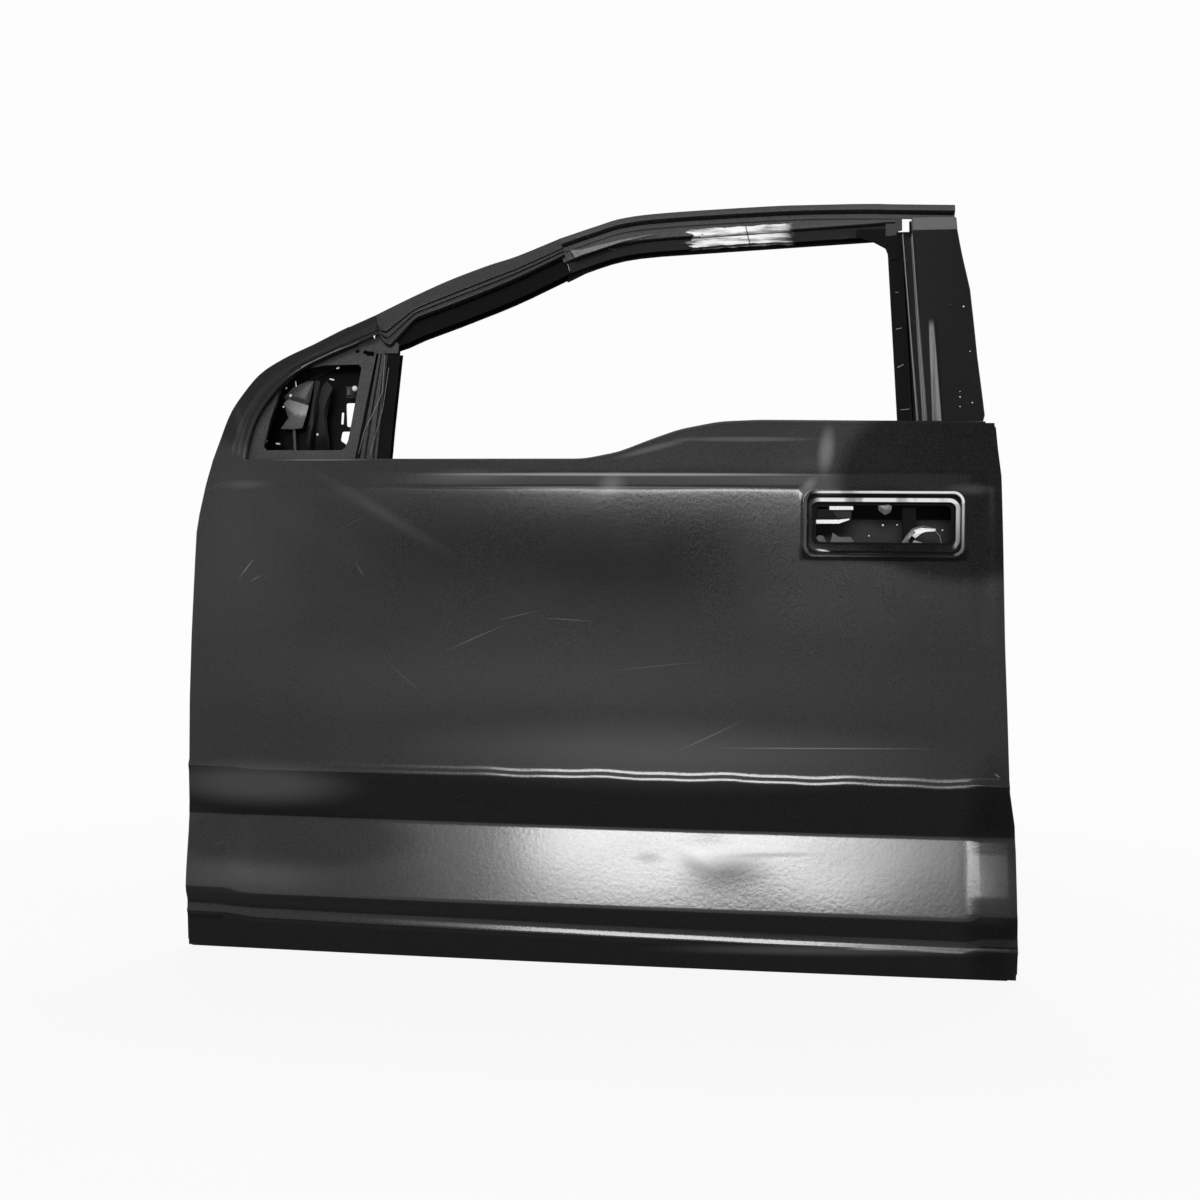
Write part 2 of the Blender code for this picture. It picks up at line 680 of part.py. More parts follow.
def make_outer_panel():
    """Skin with its hems, belt and sail flanges, front arm and handle pocket."""
    bm = bmesh.new()
    first = COLUMNS.index(HANDLE_X - HANDLE_LENGTH / 2 - HANDLE_MARGIN) + HINGE_COLUMN
    last = first + len(POCKET_COLUMN_SHARES) + 1
    reach = HANDLE_WIDTH / 2 + HANDLE_MARGIN
    low, high = HEIGHTS.index(HANDLE_HEIGHT - reach), HEIGHTS.index(HANDLE_HEIGHT + reach)
    add_strip(bm, GRID, skip=lambda i, k: low <= i < high and first <= k < last)
    add_strip(bm, ARM)

    collar = [GRID[low][k] for k in range(first, last)]
    collar += [GRID[i][last] for i in range(low, high)]
    collar += [GRID[high][k] for k in range(last, first, -1)]
    collar += [GRID[i][first] for i in range(high, low, -1)]
    loops = pocket_loops()
    rim = loops[0][0]
    fill_sheet(bm, [(p.x, p.z) for p in collar], [(rim, 0)], [], [], lambda x, z, depth: skin_point(x, z))
    add_strip(bm, [lift(loop, depth) for loop, depth in loops], closed=True)

    bottom = [GRID[0][k] for k in range(1, LAST)]
    rear = [GRID[i][LAST] for i in range(1, BELT_ROW)]
    front = [GRID[i][0] for i in range(1, BELT_ROW + 1)] + [row[0] for row in ARM[1:-1]]
    inward = {
        "bottom": [GRID[1][k] for k in range(1, LAST)],
        "rear": [GRID[i][LAST - 1] for i in range(1, BELT_ROW)],
        "front": [GRID[i][1] for i in range(1, BELT_ROW + 1)] + [row[1] for row in ARM[1:-1]],
    }
    for name, edge in (("bottom", bottom), ("rear", rear), ("front", front)):
        frames = chain_frames(edge, inward[name])
        add_strip(bm, [[point, *hem_rings(point, out, normal)] for point, out, normal in frames])

    belt = [GRID[BELT_ROW][k] for k in range(LAST - 1, SAIL_COLUMN, -1)]
    below = [GRID[BELT_ROW - 1][k] for k in range(LAST - 1, SAIL_COLUMN, -1)]
    belt_frames = chain_frames(belt, below)
    sail = [row[-1] for row in ARM[1:-1]]
    beside = [row[-2] for row in ARM[1:-1]]
    sail_frames = chain_frames(sail, beside)
    corner = GRID[BELT_ROW][SAIL_COLUMN]
    corner_out = belt_frames[-1][1] + sail_frames[0][1]
    corner_normal = (belt_frames[-1][2] + sail_frames[0][2]) / 2
    chain = [*belt_frames, (corner, corner_out, corner_normal), *sail_frames]
    add_strip(bm, [[point, *flange_rings(point, out, normal)] for point, out, normal in chain])
    return sheet_object("outer_panel", bm, SKIN_SHEET, COAT)


def pan_chain():
    """Grid places round the pan, front top to bottom to rear top, with inward directions."""
    top = BELT_ROW - 2
    chain = [(i, HINGE_COLUMN, Vector((1, 0, 0))) for i in range(top, FLOOR_ROW, -1)]
    chain.append((FLOOR_ROW, HINGE_COLUMN, Vector((1, 0, 1))))
    chain += [(FLOOR_ROW, j, Vector((0, 0, 1))) for j in range(HINGE_COLUMN + 1, LATCH_COLUMN)]
    chain.append((FLOOR_ROW, LATCH_COLUMN, Vector((-1, 0, 1))))
    chain += [(i, LATCH_COLUMN, Vector((-1, 0, 0))) for i in range(FLOOR_ROW + 1, top + 1)]
    return chain


def flange_point(i, j):
    """Inner panel's flange on the skin, with the pan's faces kept flat."""
    point = GRID[i][j] + grid_normal(i, j) * HEM_STEP
    if j in (HINGE_COLUMN, LATCH_COLUMN):
        point.x = GRID[i][j].x
    if i == FLOOR_ROW:
        point.z = PAN_FLOOR_HEIGHT
    return point


def slot_loop(ends, height, half_width):
    left, right = (PANEL_LENGTH * share for share in ends)
    z = BELT_HEIGHT * height
    box = box_loop((left + right) / 2, z, right - left, half_width * 2)
    return rounded_loop(box, half_width, 3)


def make_inner_panel():
    """Deep-drawn pan: hem flange, hinge, floor and latch walls, embossed inner face."""
    bm = bmesh.new()
    top = BELT_ROW - 2
    rows = [[flange_point(i, j) for j in range(LAST + 1)] for i in range(top + 1)]
    add_strip(bm, rows, skip=lambda i, k: i >= FLOOR_ROW and HINGE_COLUMN <= k < LATCH_COLUMN)

    rings = []
    for i, j, inward in pan_chain():
        base = flange_point(i, j)
        ring = [base]
        for turn in (0, math.pi / 4, math.pi / 2):
            point = base + inward * PAN_RADIUS * (1 - math.cos(turn))
            point.y = inner_y(point.z) - PAN_RADIUS * (1 - math.sin(turn))
            ring.append(point)
        rings.append(ring)
    add_strip(bm, rings)

    outline = [(ring[-1].x, ring[-1].z) for ring in rings]
    ends = outline[-1][0], outline[0][0]
    crossing = [x for x in COLUMNS if ends[1] < x < ends[0]]
    outline += [(x, inner_top(x)) for x in (ends[0], *reversed(crossing), ends[1])]
    crease = [(x, INNER_SHOULDER_HEIGHT) for x in (ends[1], *crossing, ends[0])]

    holes, raised = [], []
    for shares in (ACCESS_FRONT_SHARES, ACCESS_REAR_SHARES):
        loop = share_loop(shares, BELT_HEIGHT, 0)
        holes.append((rounded_loop(loop, ACCESS_CORNER, 4), EMBOSS_DEPTH))
        middle = sum(loop, Vector((0, 0))) / len(loop)
        for reach, depth in ((ACCESS_LAND, EMBOSS_DEPTH), (ACCESS_LAND + BEAD_SIDE, 0)):
            wider = [p + Vector((math.copysign(reach, p.x - middle.x), math.copysign(reach, p.y - middle.y)))
                     for p in loop]
            raised.append((rounded_loop(wider, ACCESS_CORNER + reach, 4), depth))
    holes.append((circle_loop(SPEAKER_X, SPEAKER_HEIGHT, SPEAKER_RADIUS, LARGE_SIDES), EMBOSS_DEPTH))
    for reach, depth in ((SPEAKER_RIM, EMBOSS_DEPTH), (SPEAKER_RIM + BEAD_SIDE, 0)):
        raised.append((circle_loop(SPEAKER_X, SPEAKER_HEIGHT, SPEAKER_RADIUS + reach, LARGE_SIDES), depth))
    for ends_share, height in (LOWER_BEAD_SHARES, UPPER_BEAD_SHARES):
        raised.append((slot_loop(ends_share, height, BEAD_HALF_WIDTH), 0))
        raised.append((slot_loop(ends_share, height, BEAD_HALF_WIDTH - BEAD_SIDE), EMBOSS_DEPTH))
    for x_share, z_share in CLIP_HOLE_SHARES:
        x, z = PANEL_LENGTH * x_share, BELT_HEIGHT * z_share
        holes.append((circle_loop(x, z, CLIP_HOLE_RADIUS, HOLE_SIDES), 0))
    fill_sheet(bm, outline, holes, raised, [crease],
               lambda x, z, depth: Vector((x, inner_y(z) - depth, z)))
    return sheet_object("inner_panel", bm, INNER_SHEET, COAT_DARK)


def station_rows(shares, steps, section):
    """Rows of a frame member: section(width, travel) lies between its two edges."""
    rows = []
    stations = smooth_pairs(shares, steps)
    for k, (tx, tz, bx, bz) in enumerate(stations):
        start, end = frame_point(tx, tz), frame_point(bx, bz)
        across = (end - start).normalized()
        line = section((end - start).length, k / (len(stations) - 1))
        rows.append([start + across * a + FRAME_NORMAL * b for a, b in line])
    return rows


def run_section(leg):
    """Glass run channel, open towards the window."""
    outer, inner = GLASS_DEPTH - RUN_HALF_WIDTH, GLASS_DEPTH + RUN_HALF_WIDTH

    def section(width, _):
        web = width - leg
        return [(width, outer), (web, outer), (web, inner), (width, inner)]

    return section


def inner_section(leg):
    """Inner stamping: pinch flange under the outer one, box, flange on the run channel."""
    def section(width, _):
        seat = width - leg - FRAME_STEP
        return [(0, FRAME_STEP), (PINCH_WIDTH, FRAME_STEP),
                (PINCH_WIDTH * 1.3, FRAME_DEPTH * 0.3), (PINCH_WIDTH * 1.9, FRAME_DEPTH * 0.9),
                (PINCH_WIDTH * 2.5, FRAME_DEPTH), (seat - FRAME_DEPTH * 0.15, FRAME_DEPTH),
                (seat, FRAME_DEPTH * 0.85), (seat, GLASS_DEPTH - RUN_HALF_WIDTH + FRAME_STEP)]

    return section


PINCH_WIDTH = 0.007
LEG_FOOT_SHARE = 0.16
LEG_RIDGE_SHARES = (0.0, 0.27, 0.33, 0.43, 0.48, 0.62, 0.67, 0.79, 0.84, 0.97)
LEG_RIDGE_DEPTH_SHARES = (0.0, 0.0, 1.0, 1.0, 0.0, 0.0, 1.0, 1.0, 0.0, 0.0)
RIDGE_DEPTH = 0.0022
HEADER_LIP = 0.010
HEADER_GROOVE = 0.024
HEADER_GROOVE_DEPTH = 0.009
HEADER_FACE_DEPTH = 0.005


def leg_outer_section(width, travel):
    """Ridged outer face of the leg, full width at its foot and then beside the run channel."""
    open_share = min(max(travel - LEG_FOOT_SHARE, 0) / LEG_FOOT_SHARE, 1)
    face = width - (LEG_RUN_LEG + FRAME_STEP * 2) * open_share
    row = [(face * a, RIDGE_DEPTH * b) for a, b in zip(LEG_RIDGE_SHARES, LEG_RIDGE_DEPTH_SHARES)]
    return [*row, (face, RIDGE_DEPTH), (face, GLASS_DEPTH - RUN_HALF_WIDTH - FRAME_STEP)]


def header_outer_section(width, _):
    """Drip lip, groove, then the face that turns in on the run channel."""
    face = width - RUN_LEG - FRAME_STEP * 2
    fold = HEADER_GROOVE_DEPTH / 6
    return [(0, 0), (HEADER_LIP, -fold / 2), (HEADER_LIP + fold, fold), (HEADER_LIP + fold * 2, HEADER_GROOVE_DEPTH),
            (HEADER_GROOVE - fold, HEADER_GROOVE_DEPTH), (HEADER_GROOVE + fold, HEADER_FACE_DEPTH),
            (face - fold, HEADER_FACE_DEPTH), (face, HEADER_FACE_DEPTH + fold),
            (face, GLASS_DEPTH - RUN_HALF_WIDTH + FRAME_STEP)]


def make_leg():
    steps = 2
    strip_object("frame_leg_outer", station_rows(LEG_SHARES, steps, leg_outer_section), FRAME_SHEET, COAT)
    strip_object("frame_leg_inner", station_rows(LEG_SHARES, steps, inner_section(LEG_RUN_LEG))[steps:],
                 FRAME_SHEET, COAT_DARK)
    strip_object("leg_run_channel", station_rows(LEG_SHARES, steps, run_section(LEG_RUN_LEG))[steps:],
                 FRAME_SHEET, COAT_DARK)


def make_header():
    steps = 2
    main = HEADER_SHARES[:-HEADER_TAIL_STATIONS]
    rows = station_rows(HEADER_SHARES, steps, header_outer_section)
    tail = len(rows) - 1 - steps * HEADER_TAIL_STATIONS
    lip_points = 4
    strip_object("header_outer", rows, FRAME_SHEET, COAT,
                 skip=lambda i, k: i >= tail and k >= lip_points)
    strip_object("header_inner", station_rows(main, steps, inner_section(RUN_LEG)), FRAME_SHEET, COAT_DARK)
    strip_object("header_run_channel", station_rows(main, steps, run_section(RUN_LEG)), FRAME_SHEET, BARE)


def pillar_x(table, z):
    return PANEL_LENGTH * interpolate(table, (z - BELT_HEIGHT) / FRAME_RISE)


def pillar_line(table, z):
    """A straight pillar line, also beyond the ends of its table."""
    (k0, v0), (k1, v1) = table
    return PANEL_LENGTH * (v0 + (v1 - v0) * ((z - BELT_HEIGHT) / FRAME_RISE - k0) / (k1 - k0))


def pillar_heights(low, high):
    table = [frame_z(share) for share, _ in PILLAR_REAR_SHARES]
    return [z for z in table if low <= z <= high]


def make_pillar():
    """B-pillar plate, applique channel, inner stamping and rear glass run channel."""
    plate, channel, back = [], [], []
    for z in pillar_heights(0, FRAME_TOP):
        one, two = pillar_line(RIDGE_ONE_SHARES, z), pillar_line(RIDGE_TWO_SHARES, z)
        rear = pillar_x(PILLAR_REAR_SHARES, z)
        edge = two + FRAME_STEP
        fold = BELT_RADIUS
        left = PANEL_LENGTH * STRIP_LEFT_SHARE
        reach = 1 - (z - BELT_HEIGHT) / FRAME_RISE / STRIP_TOP_SHARE
        swell = STRIP_HEIGHT * min(max(reach, 0) * 4, 1)
        width = STRIP_WIDTH * (0.3 + 0.7 * max(reach, 0))
        section = [(edge, fold * 3.6), (edge, fold / 2), (edge + fold / 2, 0), (left, 0),
                   (left + width * 0.25, -swell), (left + width * 0.75, -swell), (left + width, 0),
                   (rear - fold, 0), (rear, fold), (rear, FRAME_DEPTH * 0.6)]
        plate.append([glass_point(x, z, depth) for x, depth in section])
        section = [(one, fold / 3), (one, fold * 3.6), (two, fold * 3.6), (two, fold / 3)]
        channel.append([glass_point(x, z, depth) for x, depth in section])
        web = pillar_line(PILLAR_FRONT_SHARES, z) + PILLAR_RUN_LEG + FRAME_STEP
        seat = rear - FRAME_STEP
        section = [(web, GLASS_DEPTH - fold), (web, FRAME_DEPTH * 0.86), (web + fold * 2, FRAME_DEPTH),
                   (seat - fold * 2, FRAME_DEPTH), (seat, FRAME_DEPTH * 0.86), (seat, fold * 2.5)]
        row = [glass_point(x, z, depth) for x, depth in section]
        if z < frame_z(PILLAR_REAR_SHARES[3][0]):
            for point in row[2:4]:
                point.y = inner_y(point.z) - layer(INNER_SHEET, FRAME_SHEET) * 1.1
        back.append(row)
    strip_object("pillar_plate", plate, FRAME_SHEET, COAT)
    strip_object("pillar_channel", channel[1:-2], FRAME_SHEET, COAT)
    strip_object("pillar_inner", back[:-1], FRAME_SHEET, COAT_DARK)
    make_run("rear_run_channel", lambda z: pillar_line(PILLAR_FRONT_SHARES, z) + PILLAR_RUN_LEG,
             -PILLAR_RUN_LEG, CHANNEL_FOOT_HEIGHT, frame_z(PILLAR_FRONT_SHARES[1][0]), COAT_DARK)


def make_run(name, web_at, leg, low, high, look):
    """Upright glass run channel from inside the door up to the frame."""
    rows = []
    steps = 9
    for k in range(steps + 1):
        z = low + (high - low) * k / steps
        web = web_at(z)
        section = [(web + leg, -1), (web, -1), (web, 1), (web + leg, 1)]
        rows.append([glass_point(x, z, GLASS_DEPTH + side * RUN_HALF_WIDTH) for x, side in section])
    return strip_object(name, rows, FRAME_SHEET, look)


def division_web(z):
    return PANEL_LENGTH * interpolate(DIVISION_WEB_SHARES, (z - BELT_HEIGHT) / FRAME_RISE)


def make_division():
    """Front glass run channel and the ridged post between it and the mirror bracket."""
    top = frame_z(DIVISION_WEB_SHARES[-1][0])
    make_run("division_channel", division_web, DIVISION_LEG, CHANNEL_FOOT_HEIGHT, top, COAT_DARK)
    rows = []
    steps = 4
    low = BELT_HEIGHT - POST_DEPTH * 8
    for k in range(steps + 1):
        z = low + (top - low) * k / steps
        right = division_web(z) - FRAME_STEP * 1.2
        left = pillar_line(POST_LEFT_SHARES, z)
        base = GLASS_DEPTH - RUN_HALF_WIDTH - POST_DEPTH / 3
        row = [glass_point(left + (right - left) * a, z, base + POST_DEPTH * (b - 0.5))
               for a, b in zip(POST_RIDGE_SHARES, POST_DEPTH_SHARES)]
        row.append(glass_point(right, z, GLASS_DEPTH))
        rows.append(row)
    strip_object("mirror_post", rows, FRAME_SHEET, COAT)


def bracket_y(z):
    """Middle of the mirror bracket, seated on the fold of the sail opening."""
    base = GRID[BELT_ROW][SAIL_COLUMN]
    seat = BELT_RADIUS + BELT_FLANGE + SEAM_GAP + FRAME_SHEET / 2
    length = math.sqrt(1 + ARM_LEAN_SHARE ** 2)
    return base.y + ARM_LEAN_SHARE * (z - base.z) + seat * length


def seat_lines(hole):
    """Creases around the flat seat of the mirror base, each an open line in X and Z."""
    left = share_loop(SEAT_LEFT_SHARES, FRAME_RISE, BELT_HEIGHT)
    upper = share_loop(SEAT_UPPER_SHARES, FRAME_RISE, BELT_HEIGHT)
    start, end = (min(hole, key=lambda p: (Vector(p) - at).length)
                  for at in share_loop(SEAT_HOLE_SHARES, FRAME_RISE, BELT_HEIGHT))
    low = frame_z(SEAT_LOW_SHARE)
    return [[*left, Vector(start)], [Vector(end), *upper], [Vector((0, low)), Vector((upper[-1].x, low))]]


def bracket_point(x, z, seat):
    """Place on the bracket's sheet, set back by up to SEAT_STEP outside the mirror's seat."""
    place = Vector((x, bracket_y(z), z))
    flat = Vector((x, z))
    if inside(flat, seat):
        return place
    near = min((edge_gap(flat, a, b) for a, b in zip(seat, [*seat[1:], seat[0]])))
    return place + Vector((0, SEAT_STEP * min(near / (NUT_RADIUS * 2), 1), 0))


def edge_gap(point, a, b):
    """Distance from a flat point to the stretch from a to b."""
    along = (b - a).normalized()
    share = min(max((point - a).dot(along), 0), (b - a).length)
    return (point - a - along * share).length


def make_mirror_bracket():
    bm = bmesh.new()
    outline = share_loop(BRACKET_OUTLINE_SHARES, FRAME_RISE, BELT_HEIGHT)
    hole = rounded_loop(share_loop(BRACKET_HOLE_SHARES, FRAME_RISE, BELT_HEIGHT), BELT_RADIUS * 2, 1)
    ports = [circle_loop(PANEL_LENGTH * a, frame_z(b), BRACKET_PORT_RADIUS, HOLE_SIDES)
             for a, b in BRACKET_PORT_SHARES]
    holes = [(hole, 0), *((loop, 0) for loop in ports)]
    lines = seat_lines(hole)
    seat = [*lines[0], *lines[1], lines[2][1]]
    fill_sheet(bm, outline, holes, [], lines, lambda x, z, depth: bracket_point(x, z, seat))
    rim = [bracket_point(p[0], p[1], seat) for p in hole]
    lip = [point + Vector((0, BELT_FLANGE, 0)) for point in rim]
    add_strip(bm, [rim, lip], closed=True)
    sheet_object("mirror_bracket", bm, FRAME_SHEET, COAT)
    for number, (a, b) in enumerate(BRACKET_NUT_SHARES, 1):
        slope = math.atan(ARM_LEAN_SHARE)
        normal = Vector((0, math.cos(slope), -math.sin(slope)))
        centre = bracket_point(PANEL_LENGTH * a, frame_z(b), seat)
        centre += normal * (FRAME_SHEET / 2 + SEAM_GAP + NUT_HEIGHT / 2)
        bm = bmesh.new()
        turn = normal.to_track_quat("Z", "Y").to_matrix().to_4x4()
        bmesh.ops.create_cone(bm, cap_ends=True, segments=6, radius1=NUT_RADIUS, radius2=NUT_RADIUS,
                              depth=NUT_HEIGHT, matrix=Matrix.Translation(centre) @ turn)
        keep(f"mirror_nut_{number}", mesh_of(bm, f"mirror_nut_{number}"), ZINC)


def sail_y(z):
    """Middle of the sail inner plate: on the inner panel below, in the frame's depth above."""
    low, high = frame_z(SAIL_OUTLINE_SHARES[1][1]), frame_z(SAIL_OUTLINE_SHARES[8][1])
    step = layer(INNER_SHEET, FRAME_SHEET) * 1.05
    if z <= low:
        return inner_y(z) - step
    start = inner_y(low) - step
    top = frame_y(high) + FRAME_DEPTH / FRAME_COS
    return start + (top - start) * (z - low) / (high - low)


def make_sail():
    """Sail inner plate with its see-through holes, and the rail behind the skin's arm."""
    bm = bmesh.new()
    outline = share_loop(SAIL_OUTLINE_SHARES, FRAME_RISE, BELT_HEIGHT)
    holes = []
    for shares in SAIL_HOLE_SHARES:
        loop = share_loop(shares, FRAME_RISE, BELT_HEIGHT)
        holes.append((rounded_loop(loop, SEAM_GAP * 10, 2), 0))
    fill_sheet(bm, outline, holes, [], [(outline[1], outline[-2])], lambda x, z, depth: Vector((x, sail_y(z), z)))
    sheet_object("sail_inner", bm, FRAME_SHEET, COAT_DARK)

    rows = []
    chain = [row[0] for row in ARM]
    frames = chain_frames(chain, [row[1] for row in ARM])
    for point, out, normal in frames[:-1]:
        flat = Vector((out.x, 0, out.z)).normalized()
        back = []
        for reach, rise in ((HEM_NOTCH * 1.6, 0.4), (HEM_NOTCH * 2.1, 0), (HEM_NOTCH * 3.4, 0)):
            at = point - flat * reach
            at.y = sail_y(at.z) - FRAME_STEP * 1.2 - HEM_NOTCH * rise
            back.append(at)
        edge = point + normal * layer(SKIN_SHEET, FRAME_SHEET)
        rows.append([edge, edge - out * HEM_NOTCH, *back])
    strip_object("sail_rail", rows, FRAME_SHEET, COAT_DARK)


def make_belt_reinforcements():
    """Hat sections along the window slot, on the skin and on the inner panel."""
    outer, inner = [], []
    seat = layer(SKIN_SHEET, FRAME_SHEET) * 1.15
    crest = SECTION_DEPTH
    front, rear = PANEL_LENGTH * 0.205, PANEL_LENGTH * 0.842
    stations = [front, *(x for x in COLUMNS[:-1] if front < x < rear), rear]
    for x in stations:
        top = belt_z(x)
        hat = ((BELT_FLANGE * 1.7, seat), (BELT_FLANGE * 3.2, seat), (BELT_FLANGE * 3.9, crest),
               (BELT_FLANGE * 7.2, crest), (BELT_FLANGE * 7.9, seat * 1.3), (BELT_FLANGE * 9.4, seat * 1.3))
        outer.append([Vector((x, skin_y(x, top - drop) + depth, top - drop)) for drop, depth in hat])
        hat = ((BELT_FLANGE * 1.2, 0), (BELT_FLANGE * 2.6, 0), (BELT_FLANGE * 3.4, BELT_FLANGE),
               (BELT_FLANGE * 6.4, BELT_FLANGE), (BELT_FLANGE * 7.2, 0), (BELT_FLANGE * 8.6, 0))
        step = layer(INNER_SHEET, FRAME_SHEET) * 1.3
        inner.append([Vector((x, inner_y(top - drop) - step - depth, top - drop)) for drop, depth in hat])
    strip_object("belt_reinforcement_outer", outer, FRAME_SHEET, COAT_DARK)
    strip_object("belt_reinforcement_inner", inner, FRAME_SHEET, COAT_DARK)


def beam_centre(x):
    share = (x - BEAM_FRONT_X) / (BEAM_REAR_X - BEAM_FRONT_X)
    return Vector((x, BEAM_DEPTH, BEAM_FRONT_HEIGHT + (BEAM_REAR_HEIGHT - BEAM_FRONT_HEIGHT) * share))


def make_beam():
    """Tube across the door, its two stamped brackets and the pads against the skin."""
    front, rear = beam_centre(BEAM_FRONT_X), beam_centre(BEAM_REAR_X)
    axis = rear - front
    bm = bmesh.new()
    turn = axis.to_track_quat("Z", "Y").to_matrix().to_4x4()
    middle = BEAM_RADIUS - BEAM_WALL / 2
    bmesh.ops.create_cone(bm, cap_ends=False, segments=20, radius1=middle, radius2=middle,
                          depth=axis.length, matrix=Matrix.Translation((front + rear) / 2) @ turn)
    beam = sheet_object("intrusion_beam", bm, BEAM_WALL, ZINC)
    beam.data.shade_smooth()

    saddle = (BEAM_RADIUS + SEAM_GAP * 2 + HEAVY_SHEET / 2) / math.cos(math.pi / 16)
    wall = INNER_SHEET / 2 + SEAM_GAP + HEAVY_SHEET / 2
    inside_hinge = HINGE_FACE_X + wall + layer(HEAVY_SHEET, HEAVY_SHEET)
    inside_latch = LATCH_FACE_X - wall
    for name, seat, way, start in (("beam_bracket_front", inside_hinge, 1, BEAM_FRONT_X),
                                   ("beam_bracket_rear", inside_latch, -1, BEAM_REAR_X)):
        rows = []
        for reach, drop in ((0, 1), (0, 0), (saddle * 0.3, 0)):
            at = beam_centre(seat + way * reach)
            rows.append([at + Vector((0, saddle * (1 - drop), saddle * 1.9 * (k - 4) / 4)) for k in range(9)])
        for x in (start + way * saddle * 0.3, start + way * saddle * 2.4):
            at = beam_centre(x)
            rows.append([at + Vector((0, saddle * math.cos(a), saddle * math.sin(a)))
                         for a in (math.pi / 2 * (k - 4) / 4 for k in range(9))])
        strip_object(name, rows, HEAVY_SHEET, ZINC)

    for number, share in enumerate((0.25, 0.5, 0.75), 1):
        x = BEAM_FRONT_X + (BEAM_REAR_X - BEAM_FRONT_X) * share
        centre = beam_centre(x)
        reach = BEAM_PAD_RADIUS
        low = max(skin_y(centre.x + dx * reach, centre.z + dz * reach)
                  for dx in (-1, 1) for dz in (-1, -0.5, 0, 0.5, 1)) + SKIN_SHEET / 2 + SEAM_GAP
        high = centre.y - BEAM_RADIUS - SEAM_GAP
        bm = bmesh.new()
        add_rod(bm, Vector((centre.x, (low + high) / 2, centre.z)), BEAM_PAD_RADIUS, high - low, "Y", 16)
        keep(f"beam_pad_{number}", mesh_of(bm, f"beam_pad_{number}"), MASTIC)


def make_hinge_side():
    """Reinforcement behind the hinge face, tapping plates and check strap plate."""
    bm = bmesh.new()
    for height in (UPPER_HINGE_HEIGHT, LOWER_HINGE_HEIGHT):
        for side in (-1, 1):
            at = Vector((HINGE_FACE_X, HINGE_DEPTH, height + HINGE_BOLT_SPACING / 2 * side))
            add_rod(bm, at, HINGE_BOLT_RADIUS, OVERRUN * 2, "X", HOLE_SIDES + 2)
    at = Vector((HINGE_FACE_X, HINGE_DEPTH, STRAP_HEIGHT))
    add_block(bm, at, (OVERRUN * 2, STRAP_SLOT_WIDTH, STRAP_SLOT_LENGTH))
    holes = cutter("hinge_holes", bm)

    wall = HINGE_FACE_X + INNER_SHEET / 2 + SEAM_GAP + HEAVY_SHEET / 2
    near, far = HINGE_DEPTH - HINGE_PLATE_WIDTH * 1.2, INNER_DEPTH - PAN_RADIUS * 2
    low = LOWER_HINGE_HEIGHT - HINGE_PLATE_LENGTH * 1.3
    high = UPPER_HINGE_HEIGHT + HINGE_PLATE_LENGTH * 0.7
    rows = []
    for z in (low, high):
        rows.append([Vector((wall + HINGE_PLATE_WIDTH * 0.3, near, z)), Vector((wall, near, z)),
                     Vector((wall, far, z)), Vector((wall + PAN_RADIUS, far + PAN_RADIUS * 0.7, z))])
    brace = strip_object("hinge_reinforcement", rows, HEAVY_SHEET, ZINC)
    cut(brace, holes)

    face = wall + HEAVY_SHEET / 2 + SEAM_GAP + HINGE_PLATE_THICKNESS / 2
    for name, height in (("hinge_plate_upper", UPPER_HINGE_HEIGHT), ("hinge_plate_lower", LOWER_HINGE_HEIGHT)):
        bm = bmesh.new()
        add_block(bm, Vector((face, HINGE_DEPTH, height)),
                  (HINGE_PLATE_THICKNESS, HINGE_PLATE_WIDTH, HINGE_PLATE_LENGTH))
        plate = keep(name, mesh_of(bm, name), ZINC)
        cut(plate, holes)
    strap = STRAP_SLOT_LENGTH * 2
    bm = bmesh.new()
    seat = wall + layer(HEAVY_SHEET, HEAVY_SHEET)
    add_block(bm, Vector((seat, HINGE_DEPTH, STRAP_HEIGHT)), (HEAVY_SHEET, STRAP_SLOT_WIDTH * 2.4, strap))
    plate = keep("check_strap_plate", mesh_of(bm, "check_strap_plate"), ZINC)
    cut(plate, holes)
    return holes


def make_latch_side():
    """Reinforcement inside the latch face, with the latch cut-out and its screws."""
    depth = HINGE_DEPTH
    bm = bmesh.new()
    at = Vector((LATCH_FACE_X, depth, LATCH_HEIGHT))
    add_block(bm, at, (OVERRUN * 2, LATCH_CUT_WIDTH, LATCH_CUT_LENGTH))
    for dy, dz in ((-0.5, 0.8), (0.4, 0.8), (0, -0.8)):
        at = Vector((LATCH_FACE_X, depth + LATCH_CUT_WIDTH * dy, LATCH_HEIGHT + LATCH_CUT_LENGTH * dz))
        add_rod(bm, at, LATCH_SCREW_RADIUS, OVERRUN * 2, "X")
    holes = cutter("latch_holes", bm)
    wall = LATCH_FACE_X - INNER_SHEET / 2 - SEAM_GAP - HEAVY_SHEET / 2
    near, far = depth - LATCH_CUT_WIDTH * 0.75, INNER_DEPTH - PAN_RADIUS * 2
    reach = LATCH_CUT_LENGTH * 1.25
    rows = []
    for z in (LATCH_HEIGHT - reach, LATCH_HEIGHT + reach):
        rows.append([Vector((wall - PAN_RADIUS, near, z)), Vector((wall, near, z)),
                     Vector((wall, far, z)), Vector((wall - PAN_RADIUS, far + PAN_RADIUS * 0.7, z))])
    brace = strip_object("latch_reinforcement", rows, HEAVY_SHEET, ZINC)
    cut(brace, holes)
    return holes


